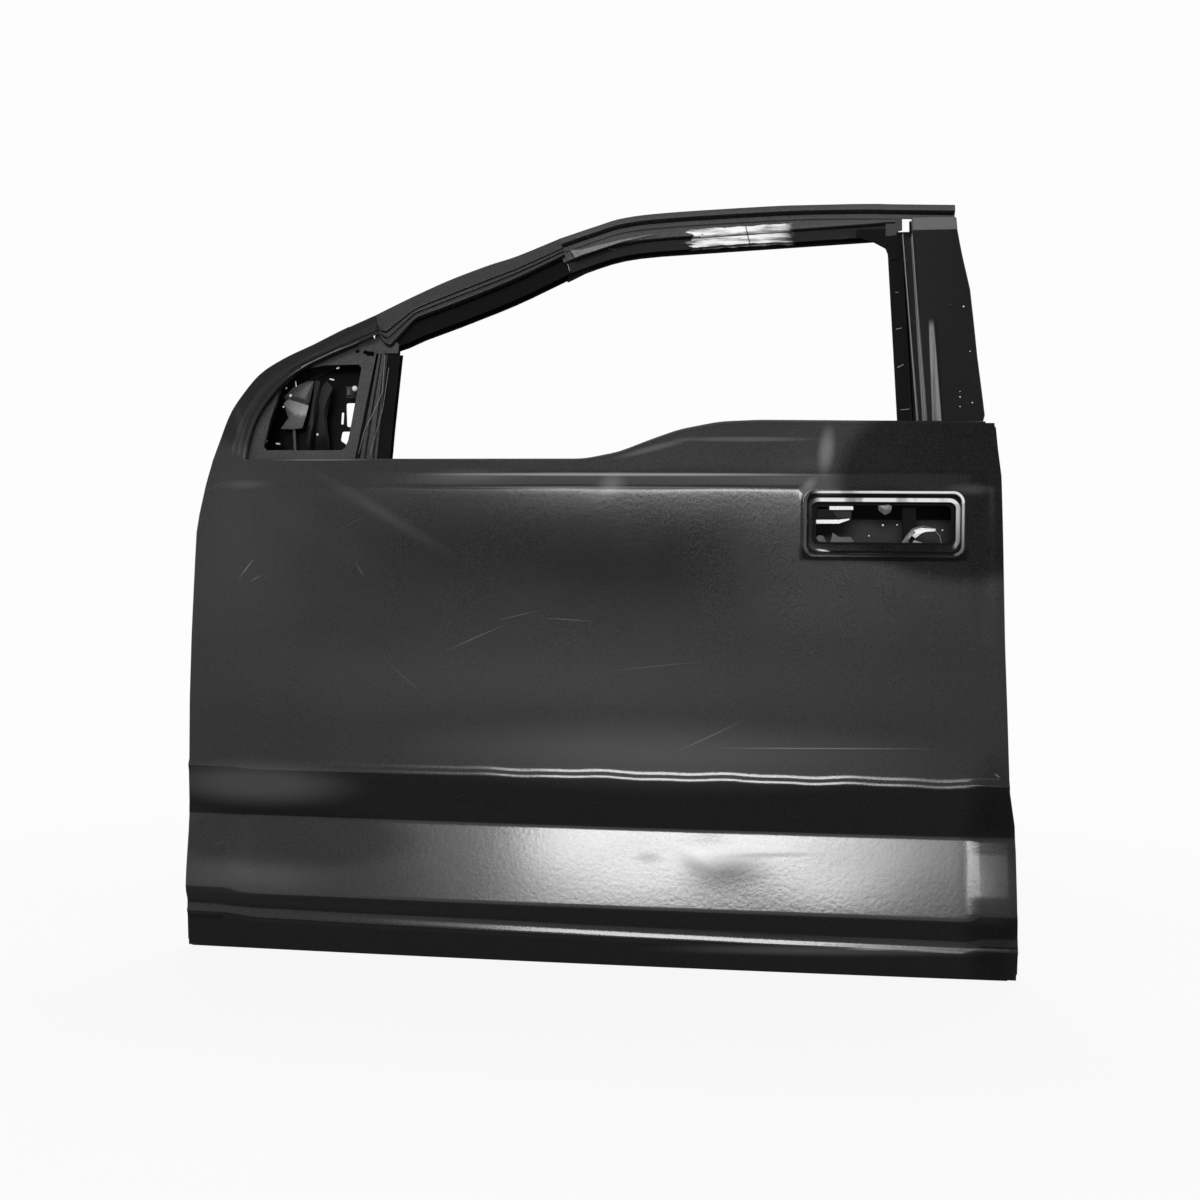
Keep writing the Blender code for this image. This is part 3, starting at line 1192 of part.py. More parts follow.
def make_handle_pieces():
    """Bracket round the handle hole, with a shelf at its front and a cradle at its rear."""
    bm = bmesh.new()
    seat = POCKET_DEPTH + layer(SKIN_SHEET, FRAME_SHEET)
    outline = rounded_loop(box_loop(HANDLE_X, HANDLE_HEIGHT, HANDLE_LENGTH * 0.93, HANDLE_WIDTH * 0.84),
                           HANDLE_CORNER, 3)
    hole = rounded_loop(box_loop(HANDLE_X, HANDLE_HEIGHT, HANDLE_HOLE_LENGTH * 0.94, HANDLE_HOLE_WIDTH * 0.86),
                        HANDLE_HOLE_CORNER, 3)
    levels = [z for z in HEIGHTS if abs(z - HANDLE_HEIGHT) < HANDLE_WIDTH * 0.4]
    half = HANDLE_LENGTH * 0.465
    lines = []
    for z in levels:
        if abs(z - HANDLE_HEIGHT) > HANDLE_HOLE_WIDTH * 0.43:
            lines.append([(HANDLE_X - half * 0.9, z), (HANDLE_X + half * 0.9, z)])
    fill_sheet(bm, outline, [(hole, 0)], [], lines,
               lambda x, z, depth: skin_point(x, z) + Vector((0, seat, 0)))
    sheet_object("handle_bracket", bm, FRAME_SHEET, COAT_DARK)

    rows = []
    left = HANDLE_X - HANDLE_HOLE_LENGTH / 2
    back = seat + FRAME_STEP
    for x in (left - HANDLE_CORNER * 0.2, left + HANDLE_HOLE_LENGTH * 0.24):
        mid = skin_y(HANDLE_X, HANDLE_HEIGHT) + crown(left) - crown(HANDLE_X)
        z_top, z_low = HANDLE_HEIGHT + HANDLE_HOLE_WIDTH * 0.62, HANDLE_HEIGHT + HANDLE_HOLE_WIDTH * 0.12
        rows.append([Vector((x, skin_y(x, z_top) + back * 1.02, z_top)),
                     Vector((x, skin_y(x, z_top) + back * 1.02, HANDLE_HEIGHT + HANDLE_HOLE_WIDTH * 0.40)),
                     Vector((x, mid + back * 1.7, HANDLE_HEIGHT + HANDLE_HOLE_WIDTH * 0.36)),
                     Vector((x, mid + back * 1.7, z_low)),
                     Vector((x, mid + back * 1.1, z_low))])
    strip_object("handle_shelf", rows, FRAME_SHEET, COAT)

    rows = []
    right = HANDLE_X + HANDLE_HOLE_LENGTH * 0.28
    foot = HANDLE_HEIGHT - HANDLE_HOLE_WIDTH * 0.58
    base = skin_y(right, HANDLE_HEIGHT) + seat + FRAME_SHEET / 2 + SEAM_GAP * 2
    for k in range(9):
        turn = math.pi * min(max(k - 1, 0), 6) / 6
        x = right + HANDLE_HOLE_WIDTH * 0.42 * math.cos(turn)
        z = foot if k in (0, 8) else HANDLE_HEIGHT - HANDLE_HOLE_WIDTH * (0.46 - 0.42 * math.sin(turn))
        rows.append([Vector((x, base, z)), Vector((x, base + BELT_FLANGE, z))])
    strip_object("handle_cradle", rows, FRAME_SHEET, BARE)


def make_corner_gusset():
    """Plate across the corner between header and B-pillar."""
    bm = bmesh.new()
    shares = ((0.8070, 0.878), (0.8300, 0.850), (0.8440, 0.825), (0.8490, 0.780), (0.8600, 0.780),
              (0.8600, 0.905), (0.8070, 0.905))
    depth = GLASS_DEPTH - RUN_HALF_WIDTH - FRAME_STEP
    outline = rounded_loop(share_loop(shares, FRAME_RISE, BELT_HEIGHT), BELT_RADIUS, 1)

    def place(x, z, _):
        return Vector((x, frame_y(z), z)) + FRAME_NORMAL * depth

    fill_sheet(bm, outline, [], [], [], place)
    sheet_object("corner_gusset", bm, FRAME_SHEET, COAT)


def make_channel_brackets():
    """Z-shaped feet that tie the two run channels to the inner panel."""
    low = CHANNEL_FOOT_HEIGHT + RUN_LEG * 0.5
    high = low + RUN_LEG * 1.6
    for name, web in (("division_bracket", division_web(low)),
                      ("rear_run_bracket", pillar_line(PILLAR_FRONT_SHARES, low) + PILLAR_RUN_LEG)):
        glass, _ = glass_frame(low)
        seat = glass + RUN_HALF_WIDTH + FRAME_STEP
        wall = INNER_DEPTH - layer(INNER_SHEET, FRAME_SHEET)
        way = 1 if name == "division_bracket" else -1
        rows = []
        for z in (low, high):
            rows.append([Vector((web + way * RUN_LEG * 0.8, seat, z)),
                         Vector((web - way * RUN_LEG * 0.2, seat, z)),
                         Vector((web - way * RUN_LEG * 0.2, wall, z)),
                         Vector((web - way * RUN_LEG * 1.4, wall, z))])
        strip_object(name, rows, FRAME_SHEET, COAT_DARK)


def clear_scene():
    for obj in list(bpy.data.objects):
        bpy.data.objects.remove(obj, do_unlink=True)


def main():
    clear_scene()
    for name in ("car_door_shell", "cutters"):
        bpy.context.scene.collection.children.link(bpy.data.collections.new(name))
    datum = bpy.data.objects.new("door_datum", None)
    datum.location = (-HINGE_FACE_X + INNER_SHEET / 2, -HINGE_DEPTH, -UPPER_HINGE_HEIGHT)
    bpy.data.collections["car_door_shell"].objects.link(datum)

    make_outer_panel()
    inner = make_inner_panel()
    make_leg()
    make_header()
    make_corner_gusset()
    make_pillar()
    make_division()
    make_mirror_bracket()
    make_sail()
    make_belt_reinforcements()
    make_beam()
    cut(inner, make_hinge_side())
    cut(inner, make_latch_side())
    make_handle_pieces()
    make_channel_brackets()
    bpy.context.view_layer.update()


main()
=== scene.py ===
import bmesh
import bpy
import math
from mathutils import Matrix, Vector


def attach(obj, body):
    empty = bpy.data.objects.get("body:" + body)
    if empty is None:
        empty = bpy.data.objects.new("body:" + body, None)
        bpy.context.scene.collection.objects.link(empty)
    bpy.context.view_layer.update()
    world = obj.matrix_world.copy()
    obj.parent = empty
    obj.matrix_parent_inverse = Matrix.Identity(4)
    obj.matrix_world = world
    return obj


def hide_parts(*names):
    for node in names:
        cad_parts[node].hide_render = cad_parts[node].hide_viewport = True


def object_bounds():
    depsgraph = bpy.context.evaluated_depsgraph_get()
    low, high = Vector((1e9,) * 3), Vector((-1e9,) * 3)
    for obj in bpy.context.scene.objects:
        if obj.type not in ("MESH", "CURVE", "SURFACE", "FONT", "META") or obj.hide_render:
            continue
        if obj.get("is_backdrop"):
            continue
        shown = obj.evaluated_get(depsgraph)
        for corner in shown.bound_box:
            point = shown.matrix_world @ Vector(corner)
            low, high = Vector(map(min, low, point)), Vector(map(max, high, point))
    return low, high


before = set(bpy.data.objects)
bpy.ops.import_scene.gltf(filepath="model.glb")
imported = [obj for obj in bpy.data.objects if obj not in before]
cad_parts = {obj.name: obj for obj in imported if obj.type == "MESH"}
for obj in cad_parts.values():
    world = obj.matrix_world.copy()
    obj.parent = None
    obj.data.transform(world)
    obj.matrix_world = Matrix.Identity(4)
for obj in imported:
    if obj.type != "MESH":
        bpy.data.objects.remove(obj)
CAD_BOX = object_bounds()

bl_info = {
    "name": "Car door shell",
    "version": (1, 0, 0),
    "blender": (4, 5, 0),
    "location": "3D View > Sidebar > Door",
    "description": "Skin, window frame, coatings and photo stage of a bare car door shell",
    "category": "Add Mesh",
}

# Door coordinates (X from the hinge end, Y inboard, Z up from the bottom edge) to the row's frame
DATUM = Vector((0.0295, 0.070, 0.640))

PANEL_LENGTH = 1.277
BELT_HEIGHT = 0.787
BELT_RISE = 0.061
SHOULDER_HEIGHT = 0.764
FRAME_TOP = 1.216
SECTION_DEPTH = 0.012
CROWN_DEPTH = 0.010
CROWN_CENTRE_SHARE = 0.486
BELT_LEAN_SHARE = 0.15
FRONT_SWEEP = 0.031
REAR_SWEEP = 0.040
LATCH_FACE_X = 1.222
HEM_WIDTH = 0.009
HEM_NOTCH = 0.013
BELT_RADIUS = 0.003
BELT_FLANGE = 0.007
SAIL_EDGE_X = 0.053
HEM_STEP = 0.0013
FRAME_STEP = 0.0015
SKIN_SHEET = 0.0010
FRAME_SHEET = 0.0012
TILT_SHARE = 0.30
FRAME_BASE_HEIGHT = 0.851
FRAME_BASE_DEPTH = 0.058
FRAME_DEPTH = 0.044
GLASS_DEPTH = 0.019
GLASS_BEND_RADIUS = 0.70
RUN_HALF_WIDTH = 0.009
RUN_LEG = 0.018
LEG_RUN_LEG = 0.028
HANDLE = Vector((1.072, 0.6875))
HANDLE_SIZE = Vector((0.238, 0.097))
HANDLE_CORNER = 0.016
HANDLE_HOLE = Vector((0.216, 0.066))
HANDLE_HOLE_CORNER = 0.010
HANDLE_MARGIN = 0.010
POCKET_DEPTH = 0.0125
ARM_LEAN_SHARE = 0.361
# Rings of the handle pocket: distance outside its opening and lift, then distance inside and depth
POCKET_RIM = ((0.0050, 0.0001), (0.0038, 0.0006), (0.0024, 0.0010), (0.0010, 0.0008), (0.0, 0.0001))
POCKET_WALL = ((0.0010, 0.0006), (0.0018, 0.0014), (0.0030, 0.0032), (0.0042, 0.0070), (0.0052, 0.0098),
               (0.0062, 0.0113), (0.0074, 0.0121), (0.0088, POCKET_DEPTH))
POCKET_LAND = ((-0.0008, POCKET_DEPTH), (0.0, 0.0128), (0.0006, 0.0136), (0.0008, 0.0160))
# Heights of the mesh rows where the skin's lower section is folded: from, to, step
FINE_ROWS = ((0, 0.06, 0.0022), (0.06, 0.26, 0.0036), (0.26, 0.31, 0.0018))
PANEL_ROW_STEP = 0.009
SHOULDER_ROW_STEP = 0.003
POCKET_STEP = 0.0055
FRONT_COLUMN_STEP = 0.0095
REAR_COLUMN_STEP = 0.007
ROWS_ABOVE_SHOULDER = 12
# Where the skin's section goes over into the lit one: start and length, at the front and at the rear
LIT_START = (0.035, 0.05)
LIT_END = (LATCH_FACE_X - 0.004, 0.012)
# Dents: depth (inboard positive), X and its half width, Z and its half width
DENTS = (
    (0.00050, 0.815, 0.040, 0.185, 0.022), (0.00030, 0.635, 0.020, 0.765, 0.030),
    (-0.00040, 0.965, 0.016, 0.790, 0.045), (-0.0005, 0.20, 0.10, 0.70, 0.04),
)
SMALLEST_GAP = 0.00001
BOX_MARGIN = 0.00005
EDGE_RADIUS = 0.0003

FRONT_EDGE_SHARES = (
    (0.0, -0.90), (0.127, -0.86), (0.273, -0.98), (0.368, -0.86), (0.508, -0.87), (0.628, -0.82),
    (0.790, -0.71), (0.848, -0.66), (0.886, -0.52), (0.947, -0.21), (0.983, 0.0), (1.0, 0.09),
)
REAR_EDGE_SHARES = (
    (0.0, 0.0), (0.055, 0.0), (0.136, -0.08), (0.245, -0.10), (0.294, -0.15), (0.362, -0.38), (0.508, -0.50),
    (0.645, -0.62), (0.836, -0.72), (0.967, -0.80), (1.020, -0.92), (1.078, -1.02),
)
BELT_SHARES = (
    (0.0, 0.0), (0.478, 0.0), (0.521, 0.18), (0.558, 0.49), (0.594, 0.76), (0.643, 0.96), (0.691, 1.0),
    (0.968, 0.95), (1.0, 0.94),
)
SECTION_SHARES = (
    (0.0, 0.75), (0.018, 0.62), (0.056, 0.25), (0.0655, -0.04), (0.0750, 0.125), (0.0942, 0.083),
    (0.1150, -0.50), (0.1290, -0.68), (0.1636, -0.375), (0.1963, 0.042), (0.2450, 0.70), (0.2750, 1.0),
    (0.3020, 0.85), (0.369, 0.042), (0.382, -0.292), (0.396, 0.067), (0.5236, 0.008), (0.665, 0.033),
    (0.916, 0.40), (0.970, 0.567), (0.984, 0.658), (1.0, 0.808),
)
# The section of the visible skin: straight scallop, and two flats on the crease that catch the light
LIT_SECTION_SHARES = (
    (0.0, 0.75), (0.018, 0.62), (0.051, 0.25), (0.0585, -0.110), (0.0740, 0.128), (0.0880, 0.085),
    (0.1055, -0.42), (0.1175, -0.68), (0.2770, 1.26), (0.3020, 0.95), (0.366, 0.06), (0.3764, -0.283),
    (0.3860, -0.170), (0.3880, -0.090), (0.3965, 0.005), (0.4060, 0.035), (0.5236, 0.008), (0.665, 0.006),
    (0.800, 0.030), (0.916, 0.070), (0.9560, 0.085), (0.9715, 0.097), (0.9770, 0.240), (1.0, 0.808),
)
ARM_SHARES = (
    (0.0074, 0.075, 0.0431, 0.065), (0.0147, 0.170, 0.0478, 0.147), (0.0255, 0.242, 0.0572, 0.212),
    (0.0467, 0.336, 0.0744, 0.289), (0.0761, 0.400, 0.0971, 0.352), (0.1141, 0.458, 0.1316, 0.408),
    (0.1490, 0.515, 0.1629, 0.452), (0.1911, 0.576, 0.1973, 0.497),
)
# Share across the arm, and how far the stamping steps outwards there (in sheet thicknesses)
ARM_PROFILE = (
    (0.0, 0.0), (0.03, 0.0), (0.07, 0.0), (0.14, 0.0), (0.26, 0.0), (0.42, 0.0), (0.52, -0.2), (0.57, -0.8),
    (0.61, 1.2), (0.66, 2.2), (0.72, 2.4), (0.78, 1.9), (0.82, 0.6), (0.88, 0.9), (0.94, 1.4), (1.0, 0.6),
)
LEG_SHARES = (
    (0.1917, 0.5775, 0.1979, 0.4965), (0.1995, 0.590, 0.2150, 0.452), (0.2404, 0.653, 0.2553, 0.502),
    (0.2850, 0.716, 0.3015, 0.555), (0.3344, 0.774, 0.3524, 0.617), (0.3720, 0.811, 0.3892, 0.667),
    (0.4270, 0.881, 0.4424, 0.748),
)
HEADER_SHARES = (
    (0.4275, 0.8816, 0.4429, 0.7487), (0.4745, 0.930, 0.4792, 0.790), (0.5074, 0.960, 0.5121, 0.818),
    (0.5583, 0.978, 0.5583, 0.834), (0.6609, 0.993, 0.6609, 0.852), (0.7424, 1.0, 0.7424, 0.862),
    (0.8230, 0.998, 0.8230, 0.875), (0.8560, 0.994, 0.8560, 0.881), (0.9303, 0.986, 0.9303, 0.875),
)
PILLAR_REAR_SHARES = (
    (0.030, 0.9522), (0.100, 0.9550), (0.156, 0.9600), (0.233, 0.9577), (0.378, 0.9530), (0.503, 0.9500),
    (0.638, 0.9464), (0.765, 0.9384), (0.828, 0.9350), (0.878, 0.9326), (0.925, 0.9317),
)
RIDGE_ONE_SHARES = ((0.0, 0.8828), (0.848, 0.8653))
RIDGE_TWO_SHARES = ((0.0, 0.8919), (0.879, 0.8764))
STRIP_LEFT_SHARE = 0.9009
STRIP_WIDTH = 0.015
STRIP_HEIGHT = 0.003
STRIP_TOP_SHARE = 0.540
LEG_FOOT_SHARE = 0.16
LEG_RIDGE_SHARES = (0.0, 0.30, 0.56, 0.585, 0.605, 0.63, 0.74, 0.77, 0.80, 0.83, 0.97)
LEG_RIDGE_DEPTH_SHARES = (0.0, 0.15, 0.0, 1.3, 1.3, 0.0, 0.1, 1.1, 1.1, 0.0, 0.0)
RIDGE_DEPTH = 0.0022
HEADER_LIP = 0.010
HEADER_GROOVE = 0.024
HEADER_GROOVE_DEPTH = 0.009
HEADER_FACE_DEPTH = 0.005


# ---------------------------------------------------------------- form helpers

def interpolate(table, key):
    """Value at key on the broken line through a table of (key, value) pairs."""
    for (k0, v0), (k1, v1) in zip(table, table[1:]):
        if key <= k1:
            return v0 + (v1 - v0) * (key - k0) / (k1 - k0)
    return table[-1][1]


def smooth_pairs(stations, steps):
    """Points on Catmull-Rom curves through the stations."""
    result = []
    last = len(stations) - 1
    for i in range(last):
        before = stations[max(i - 1, 0)]
        after = stations[min(i + 2, last)]
        for s in range(steps):
            t = s / steps
            result.append(tuple(
                b + ((c - a) * t + (a * 2 - b * 5 + c * 4 - d) * t * t
                     + (b * 3 - a - c * 3 + d) * t * t * t) / 2
                for a, b, c, d in zip(before, stations[i], stations[i + 1], after)))
    result.append(stations[-1])
    return result


def soften(line, radius, steps=3):
    """A section with each inner corner turned into a small arc of steps + 1 points."""
    result = [line[0]]
    for before, corner, after in zip(line, line[1:], line[2:]):
        a, c, b = Vector(before), Vector(corner), Vector(after)
        one, two = a - c, b - c
        reach_one = min(radius, one.length * 0.45)
        reach_two = min(radius, two.length * 0.45)
        start, end = c + one.normalized() * reach_one, c + two.normalized() * reach_two
        for s in range(steps + 1):
            t = s / steps
            result.append(tuple(start.lerp(c, t).lerp(c.lerp(end, t), t)))
    result.append(line[-1])
    return result


def bell(value, centre, width):
    """One at the centre, fading out over the width."""
    return math.exp(-((value - centre) / width) ** 2)


def frame_z(share):
    return BELT_HEIGHT + (FRAME_TOP - BELT_HEIGHT) * share


def frame_share(z):
    return (z - BELT_HEIGHT) / (FRAME_TOP - BELT_HEIGHT)


def frame_y(z):
    return FRAME_BASE_DEPTH + TILT_SHARE * (z - FRAME_BASE_HEIGHT)


FRAME_COS = 1 / math.sqrt(1 + TILT_SHARE ** 2)
FRAME_NORMAL = Vector((0, FRAME_COS, -TILT_SHARE * FRAME_COS))


def frame_point(x_share, z_share):
    z = frame_z(z_share)
    return Vector((PANEL_LENGTH * x_share, frame_y(z), z))


def glass_point(x, z, depth):
    """Point at a depth inboard of the frame's outer plane, square to the glass."""
    base = FRAME_BASE_DEPTH + GLASS_DEPTH / FRAME_COS
    drop = FRAME_BASE_HEIGHT - z
    if drop <= 0:
        slope = TILT_SHARE
        y = base - TILT_SHARE * drop
    else:
        bend = min(drop, GLASS_BEND_RADIUS * TILT_SHARE)
        slope = TILT_SHARE - bend / GLASS_BEND_RADIUS
        y = base - TILT_SHARE * bend + bend * bend / GLASS_BEND_RADIUS / 2
    return Vector((x, y, z)) + Vector((0, 1, -slope)).normalized() * (depth - GLASS_DEPTH)


def pillar_line(table, z):
    (k0, v0), (k1, v1) = table
    return PANEL_LENGTH * (v0 + (v1 - v0) * (frame_share(z) - k0) / (k1 - k0))


# ---------------------------------------------------------------- mesh helpers

def add_strip(bm, rows, closed=False, skip=None):
    """Quads between rows of points; skip(i, k) leaves one out."""
    verts = [[bm.verts.new(p) for p in row] for row in rows]
    for i in range(len(verts) - 1):
        count = len(verts[i])
        for k in range(count if closed else count - 1):
            if skip and skip(i, k):
                continue
            n = (k + 1) % count
            bm.faces.new((verts[i][k], verts[i][n], verts[i + 1][n], verts[i + 1][k]))


def add_object(name, data):
    obj = bpy.data.objects.new(name, data)
    bpy.context.scene.collection.objects.link(obj)
    return obj


def take_mesh(bm, name):
    mesh = bpy.data.meshes.new(name)
    bm.to_mesh(mesh)
    bm.free()
    return mesh


def finish_piece(name, bm, material, nodes, sheet=0.0, sharp=35.0):
    """Object in the row's frame from a mesh in door coordinates, thickened where it is a sheet."""
    bmesh.ops.remove_doubles(bm, verts=bm.verts, dist=SMALLEST_GAP)
    bmesh.ops.recalc_face_normals(bm, faces=bm.faces)
    bmesh.ops.translate(bm, verts=bm.verts, vec=-DATUM)
    edge = sheet / 2 + BOX_MARGIN
    for vert in bm.verts:
        for k in range(3):
            vert.co[k] = min(max(vert.co[k], CAD_BOX[0][k] + edge), CAD_BOX[1][k] - edge)
    obj = add_object(name, take_mesh(bm, name))
    if sheet:
        wall = obj.modifiers.new("sheet", "SOLIDIFY")
        wall.thickness = sheet
        wall.offset = 0
        wall.use_even_offset = True
        wall.use_quality_normals = True
        bake(obj)
    dress(obj, material, sharp)
    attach(obj, "root")
    if nodes:
        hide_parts(*nodes)
    return obj


def bake(obj):
    """Turn the modifiers of an object into its mesh."""
    graph = bpy.context.evaluated_depsgraph_get()
    mesh = bpy.data.meshes.new_from_object(obj.evaluated_get(graph))
    old = obj.data
    obj.modifiers.clear()
    obj.data = mesh
    bpy.data.meshes.remove(old)


def dress(obj, material, sharp):
    obj.data.shade_smooth()
    obj.data.set_sharp_from_angle(angle=math.radians(sharp))
    obj.data.materials.clear()
    obj.data.materials.append(bpy.data.materials[material])


def refined_copy(node, material):
    """The CAD node again with merged corners, small edge radii and smooth shading."""
    source = bpy.data.objects[node]
    bm = bmesh.new()
    bm.from_mesh(source.data)
    bm.transform(source.matrix_world)
    bmesh.ops.remove_doubles(bm, verts=bm.verts, dist=0.000002)
    bmesh.ops.dissolve_limit(bm, angle_limit=math.radians(1), verts=bm.verts, edges=bm.edges)
    bmesh.ops.translate(bm, verts=bm.verts, vec=DATUM)
    obj = finish_piece(f"{node}_look", bm, material, (node,))
    edge = obj.modifiers.new("edge", "BEVEL")
    edge.width = EDGE_RADIUS
    edge.segments = 2
    edge.limit_method = "ANGLE"
    edge.angle_limit = math.radians(50)
    edge.use_clamp_overlap = True
    bake(obj)
    dress(obj, material, 30.0)
    normals = obj.modifiers.new("normals", "WEIGHTED_NORMAL")
    normals.mode = "FACE_AREA"
    normals.weight = 100
    normals.keep_sharp = True
    bake(obj)
    return obj


# ---------------------------------------------------------------- node helpers

def wire(tree, value, socket):
    """Link a socket, or write a plain value, into an input."""
    if isinstance(value, bpy.types.NodeSocket):
        tree.links.new(value, socket)
    else:
        socket.default_value = value


def put(tree, kind, values=(), **settings):
    """Add a node, set its properties, and fill its inputs by name or number."""
    node = tree.nodes.new(kind)
    for key, value in settings.items():
        setattr(node, key, value)
    for key, value in dict(values).items():
        wire(tree, value, node.inputs[key])
    return node


def calc(tree, operation, one, two=0.0, three=0.0, clamp=False):
    node = put(tree, "ShaderNodeMath", operation=operation, use_clamp=clamp)
    for k, value in enumerate((one, two, three)):
        if k < len(node.inputs):
            wire(tree, value, node.inputs[k])
    return node.outputs[0]


def times(tree, first, *others):
    """Product of values."""
    for other in others:
        first = calc(tree, "MULTIPLY", first, other)
    return first


def most(tree, first, *others):
    """Largest of values."""
    for other in others:
        first = calc(tree, "MAXIMUM", first, other)
    return first


def vector(tree, operation, *values):
    node = put(tree, "ShaderNodeVectorMath", enumerate(values), operation=operation)
    return node.outputs["Value" if operation == "LENGTH" else 0]


def split(tree, value):
    """X, Y and Z of a vector."""
    return put(tree, "ShaderNodeSeparateXYZ", {0: value}).outputs


def turn_flat(tree, value, angle):
    """A place turned about the Y axis."""
    node = put(tree, "ShaderNodeVectorRotate", {"Vector": value, "Angle": angle}, rotation_type="Y_AXIS")
    return node.outputs[0]


def span(tree, value, low, high, to_low=0.0, to_high=1.0):
    """Smooth step of a value between two limits."""
    node = put(tree, "ShaderNodeMapRange", interpolation_type="SMOOTHSTEP")
    for key, entry in (("Value", value), ("From Min", low), ("From Max", high),
                       ("To Min", to_low), ("To Max", to_high)):
        wire(tree, entry, node.inputs[key])
    return node.outputs[0]


def blend(tree, mask, one, two):
    """Colour between two, by a mask."""
    node = put(tree, "ShaderNodeMix", data_type="RGBA")
    wire(tree, mask, node.inputs[0])
    wire(tree, one, node.inputs[6])
    wire(tree, two, node.inputs[7])
    return node.outputs[2]


def spot(tree):
    """Place in the row's frame, as a socket, and its X and Z."""
    place = put(tree, "ShaderNodeTexCoord").outputs["Object"]
    x, _, z = split(tree, place)
    return place, x, z


def noise(tree, place, scale, detail=3.0, rough=0.5, stretch=None):
    if stretch:
        place = put(tree, "ShaderNodeMapping", {"Vector": place, "Scale": stretch}).outputs[0]
    return put(tree, "ShaderNodeTexNoise", {"Vector": place, "Scale": scale, "Detail": detail,
                                            "Roughness": rough}).outputs["Fac"]


def new_group(name, inputs, outputs):
    tree = bpy.data.node_groups.new(name, "ShaderNodeTree")
    for label, value in inputs:
        kind = "NodeSocketVector" if isinstance(value, tuple) else "NodeSocketFloat"
        tree.interface.new_socket(label, in_out="INPUT", socket_type=kind).default_value = value
    for label in outputs:
        tree.interface.new_socket(label, in_out="OUTPUT", socket_type="NodeSocketFloat")
    return tree, tree.nodes.new("NodeGroupInput").outputs, tree.nodes.new("NodeGroupOutput").inputs


def use(tree, group, **values):
    node = put(tree, "ShaderNodeGroup", node_tree=bpy.data.node_groups[group])
    for key, value in values.items():
        wire(tree, value, node.inputs[key.replace("_", " ")])
    return node.outputs


def patch(tree, x, z, wide, high, turn=0.0, hard=0.0):
    """Mask of a turned oval with soft edges."""
    return use(tree, "door_patch", Centre=(x, 0.0, z), Size=(wide, 1.0, high), Angle=turn, Hard=hard)["Mask"]


def build_groups():
    """Effects that several coatings share."""
    tree, given, made = new_group("door_grain", (("Scale", 1.0),), ("Speck", "Height"))
    place = spot(tree)[0]
    fine = noise(tree, place, times(tree, given["Scale"], 700.0), 2.0, 0.6)
    peel = noise(tree, place, times(tree, given["Scale"], 160.0), 2.0, 0.5)
    tree.links.new(span(tree, fine, 0.36, 0.66, -1.0, 1.0), made["Speck"])
    tree.links.new(peel, made["Height"])

    tree, given, made = new_group("door_dust", (("Low", -0.10), ("High", 0.02)), ("Mask",))
    place = spot(tree)[0]
    facing = split(tree, put(tree, "ShaderNodeNewGeometry").outputs["Normal"])
    up = span(tree, facing[2], given["Low"], given["High"])
    cloud = span(tree, noise(tree, place, 3.2, 4.0, 0.55), 0.30, 0.72, 0.45, 1.0)
    tree.links.new(times(tree, up, cloud), made["Mask"])

    tree, given, made = new_group("door_scuffs", (("Angle", 0.0), ("Amount", 0.5), ("Seed", 0.0)), ("Mask",))
    shift = put(tree, "ShaderNodeCombineXYZ", {1: given["Seed"]}).outputs[0]
    place = vector(tree, "ADD", turn_flat(tree, spot(tree)[0], given["Angle"]), shift)
    lines = noise(tree, place, 1.0, 2.0, 0.4, (7.0, 3.0, 420.0))
    where = noise(tree, place, 6.0, 2.0, 0.5)
    thin = span(tree, lines, 0.66, 0.74)
    few = span(tree, where, calc(tree, "SUBTRACT", 0.78, times(tree, given["Amount"], 0.3)), 0.85)
    tree.links.new(times(tree, thin, few), made["Mask"])

    tree, given, made = new_group(
        "door_patch", (("Centre", (0.0, 0.0, 0.0)), ("Size", (0.1, 1.0, 0.1)), ("Angle", 0.0), ("Hard", 0.0)),
        ("Mask",))
    away = turn_flat(tree, vector(tree, "SUBTRACT", spot(tree)[0], given["Centre"]), given["Angle"])
    away = vector(tree, "MULTIPLY", vector(tree, "DIVIDE", away, given["Size"]), (1.0, 0.0, 1.0))
    far = vector(tree, "LENGTH", away)
    tree.links.new(span(tree, far, given["Hard"], 1.0, 1.0, 0.0), made["Mask"])


def ring(tree, half, corner, low, high, soft=0.0006):
    """Mask of a band along a rounded rectangle round the handle: distance low to high from its edge."""
    away = vector(tree, "SUBTRACT", spot(tree)[0], (HANDLE.x - DATUM.x, 0.0, HANDLE.y - DATUM.z))
    away = vector(tree, "SUBTRACT", vector(tree, "ABSOLUTE", away), (half.x - corner, 0.0, half.y - corner))
    x, _, z = split(tree, away)
    out_x, out_z = most(tree, x, 0.0), most(tree, z, 0.0)
    far = calc(tree, "SQRT", calc(tree, "ADD", times(tree, out_x, out_x), times(tree, out_z, out_z)))
    inner = calc(tree, "MINIMUM", most(tree, x, z), 0.0)
    far = calc(tree, "SUBTRACT", calc(tree, "ADD", far, inner), corner)
    return times(tree, span(tree, far, low - soft, low + soft),
                 span(tree, far, high - soft, high + soft, 1.0, 0.0))


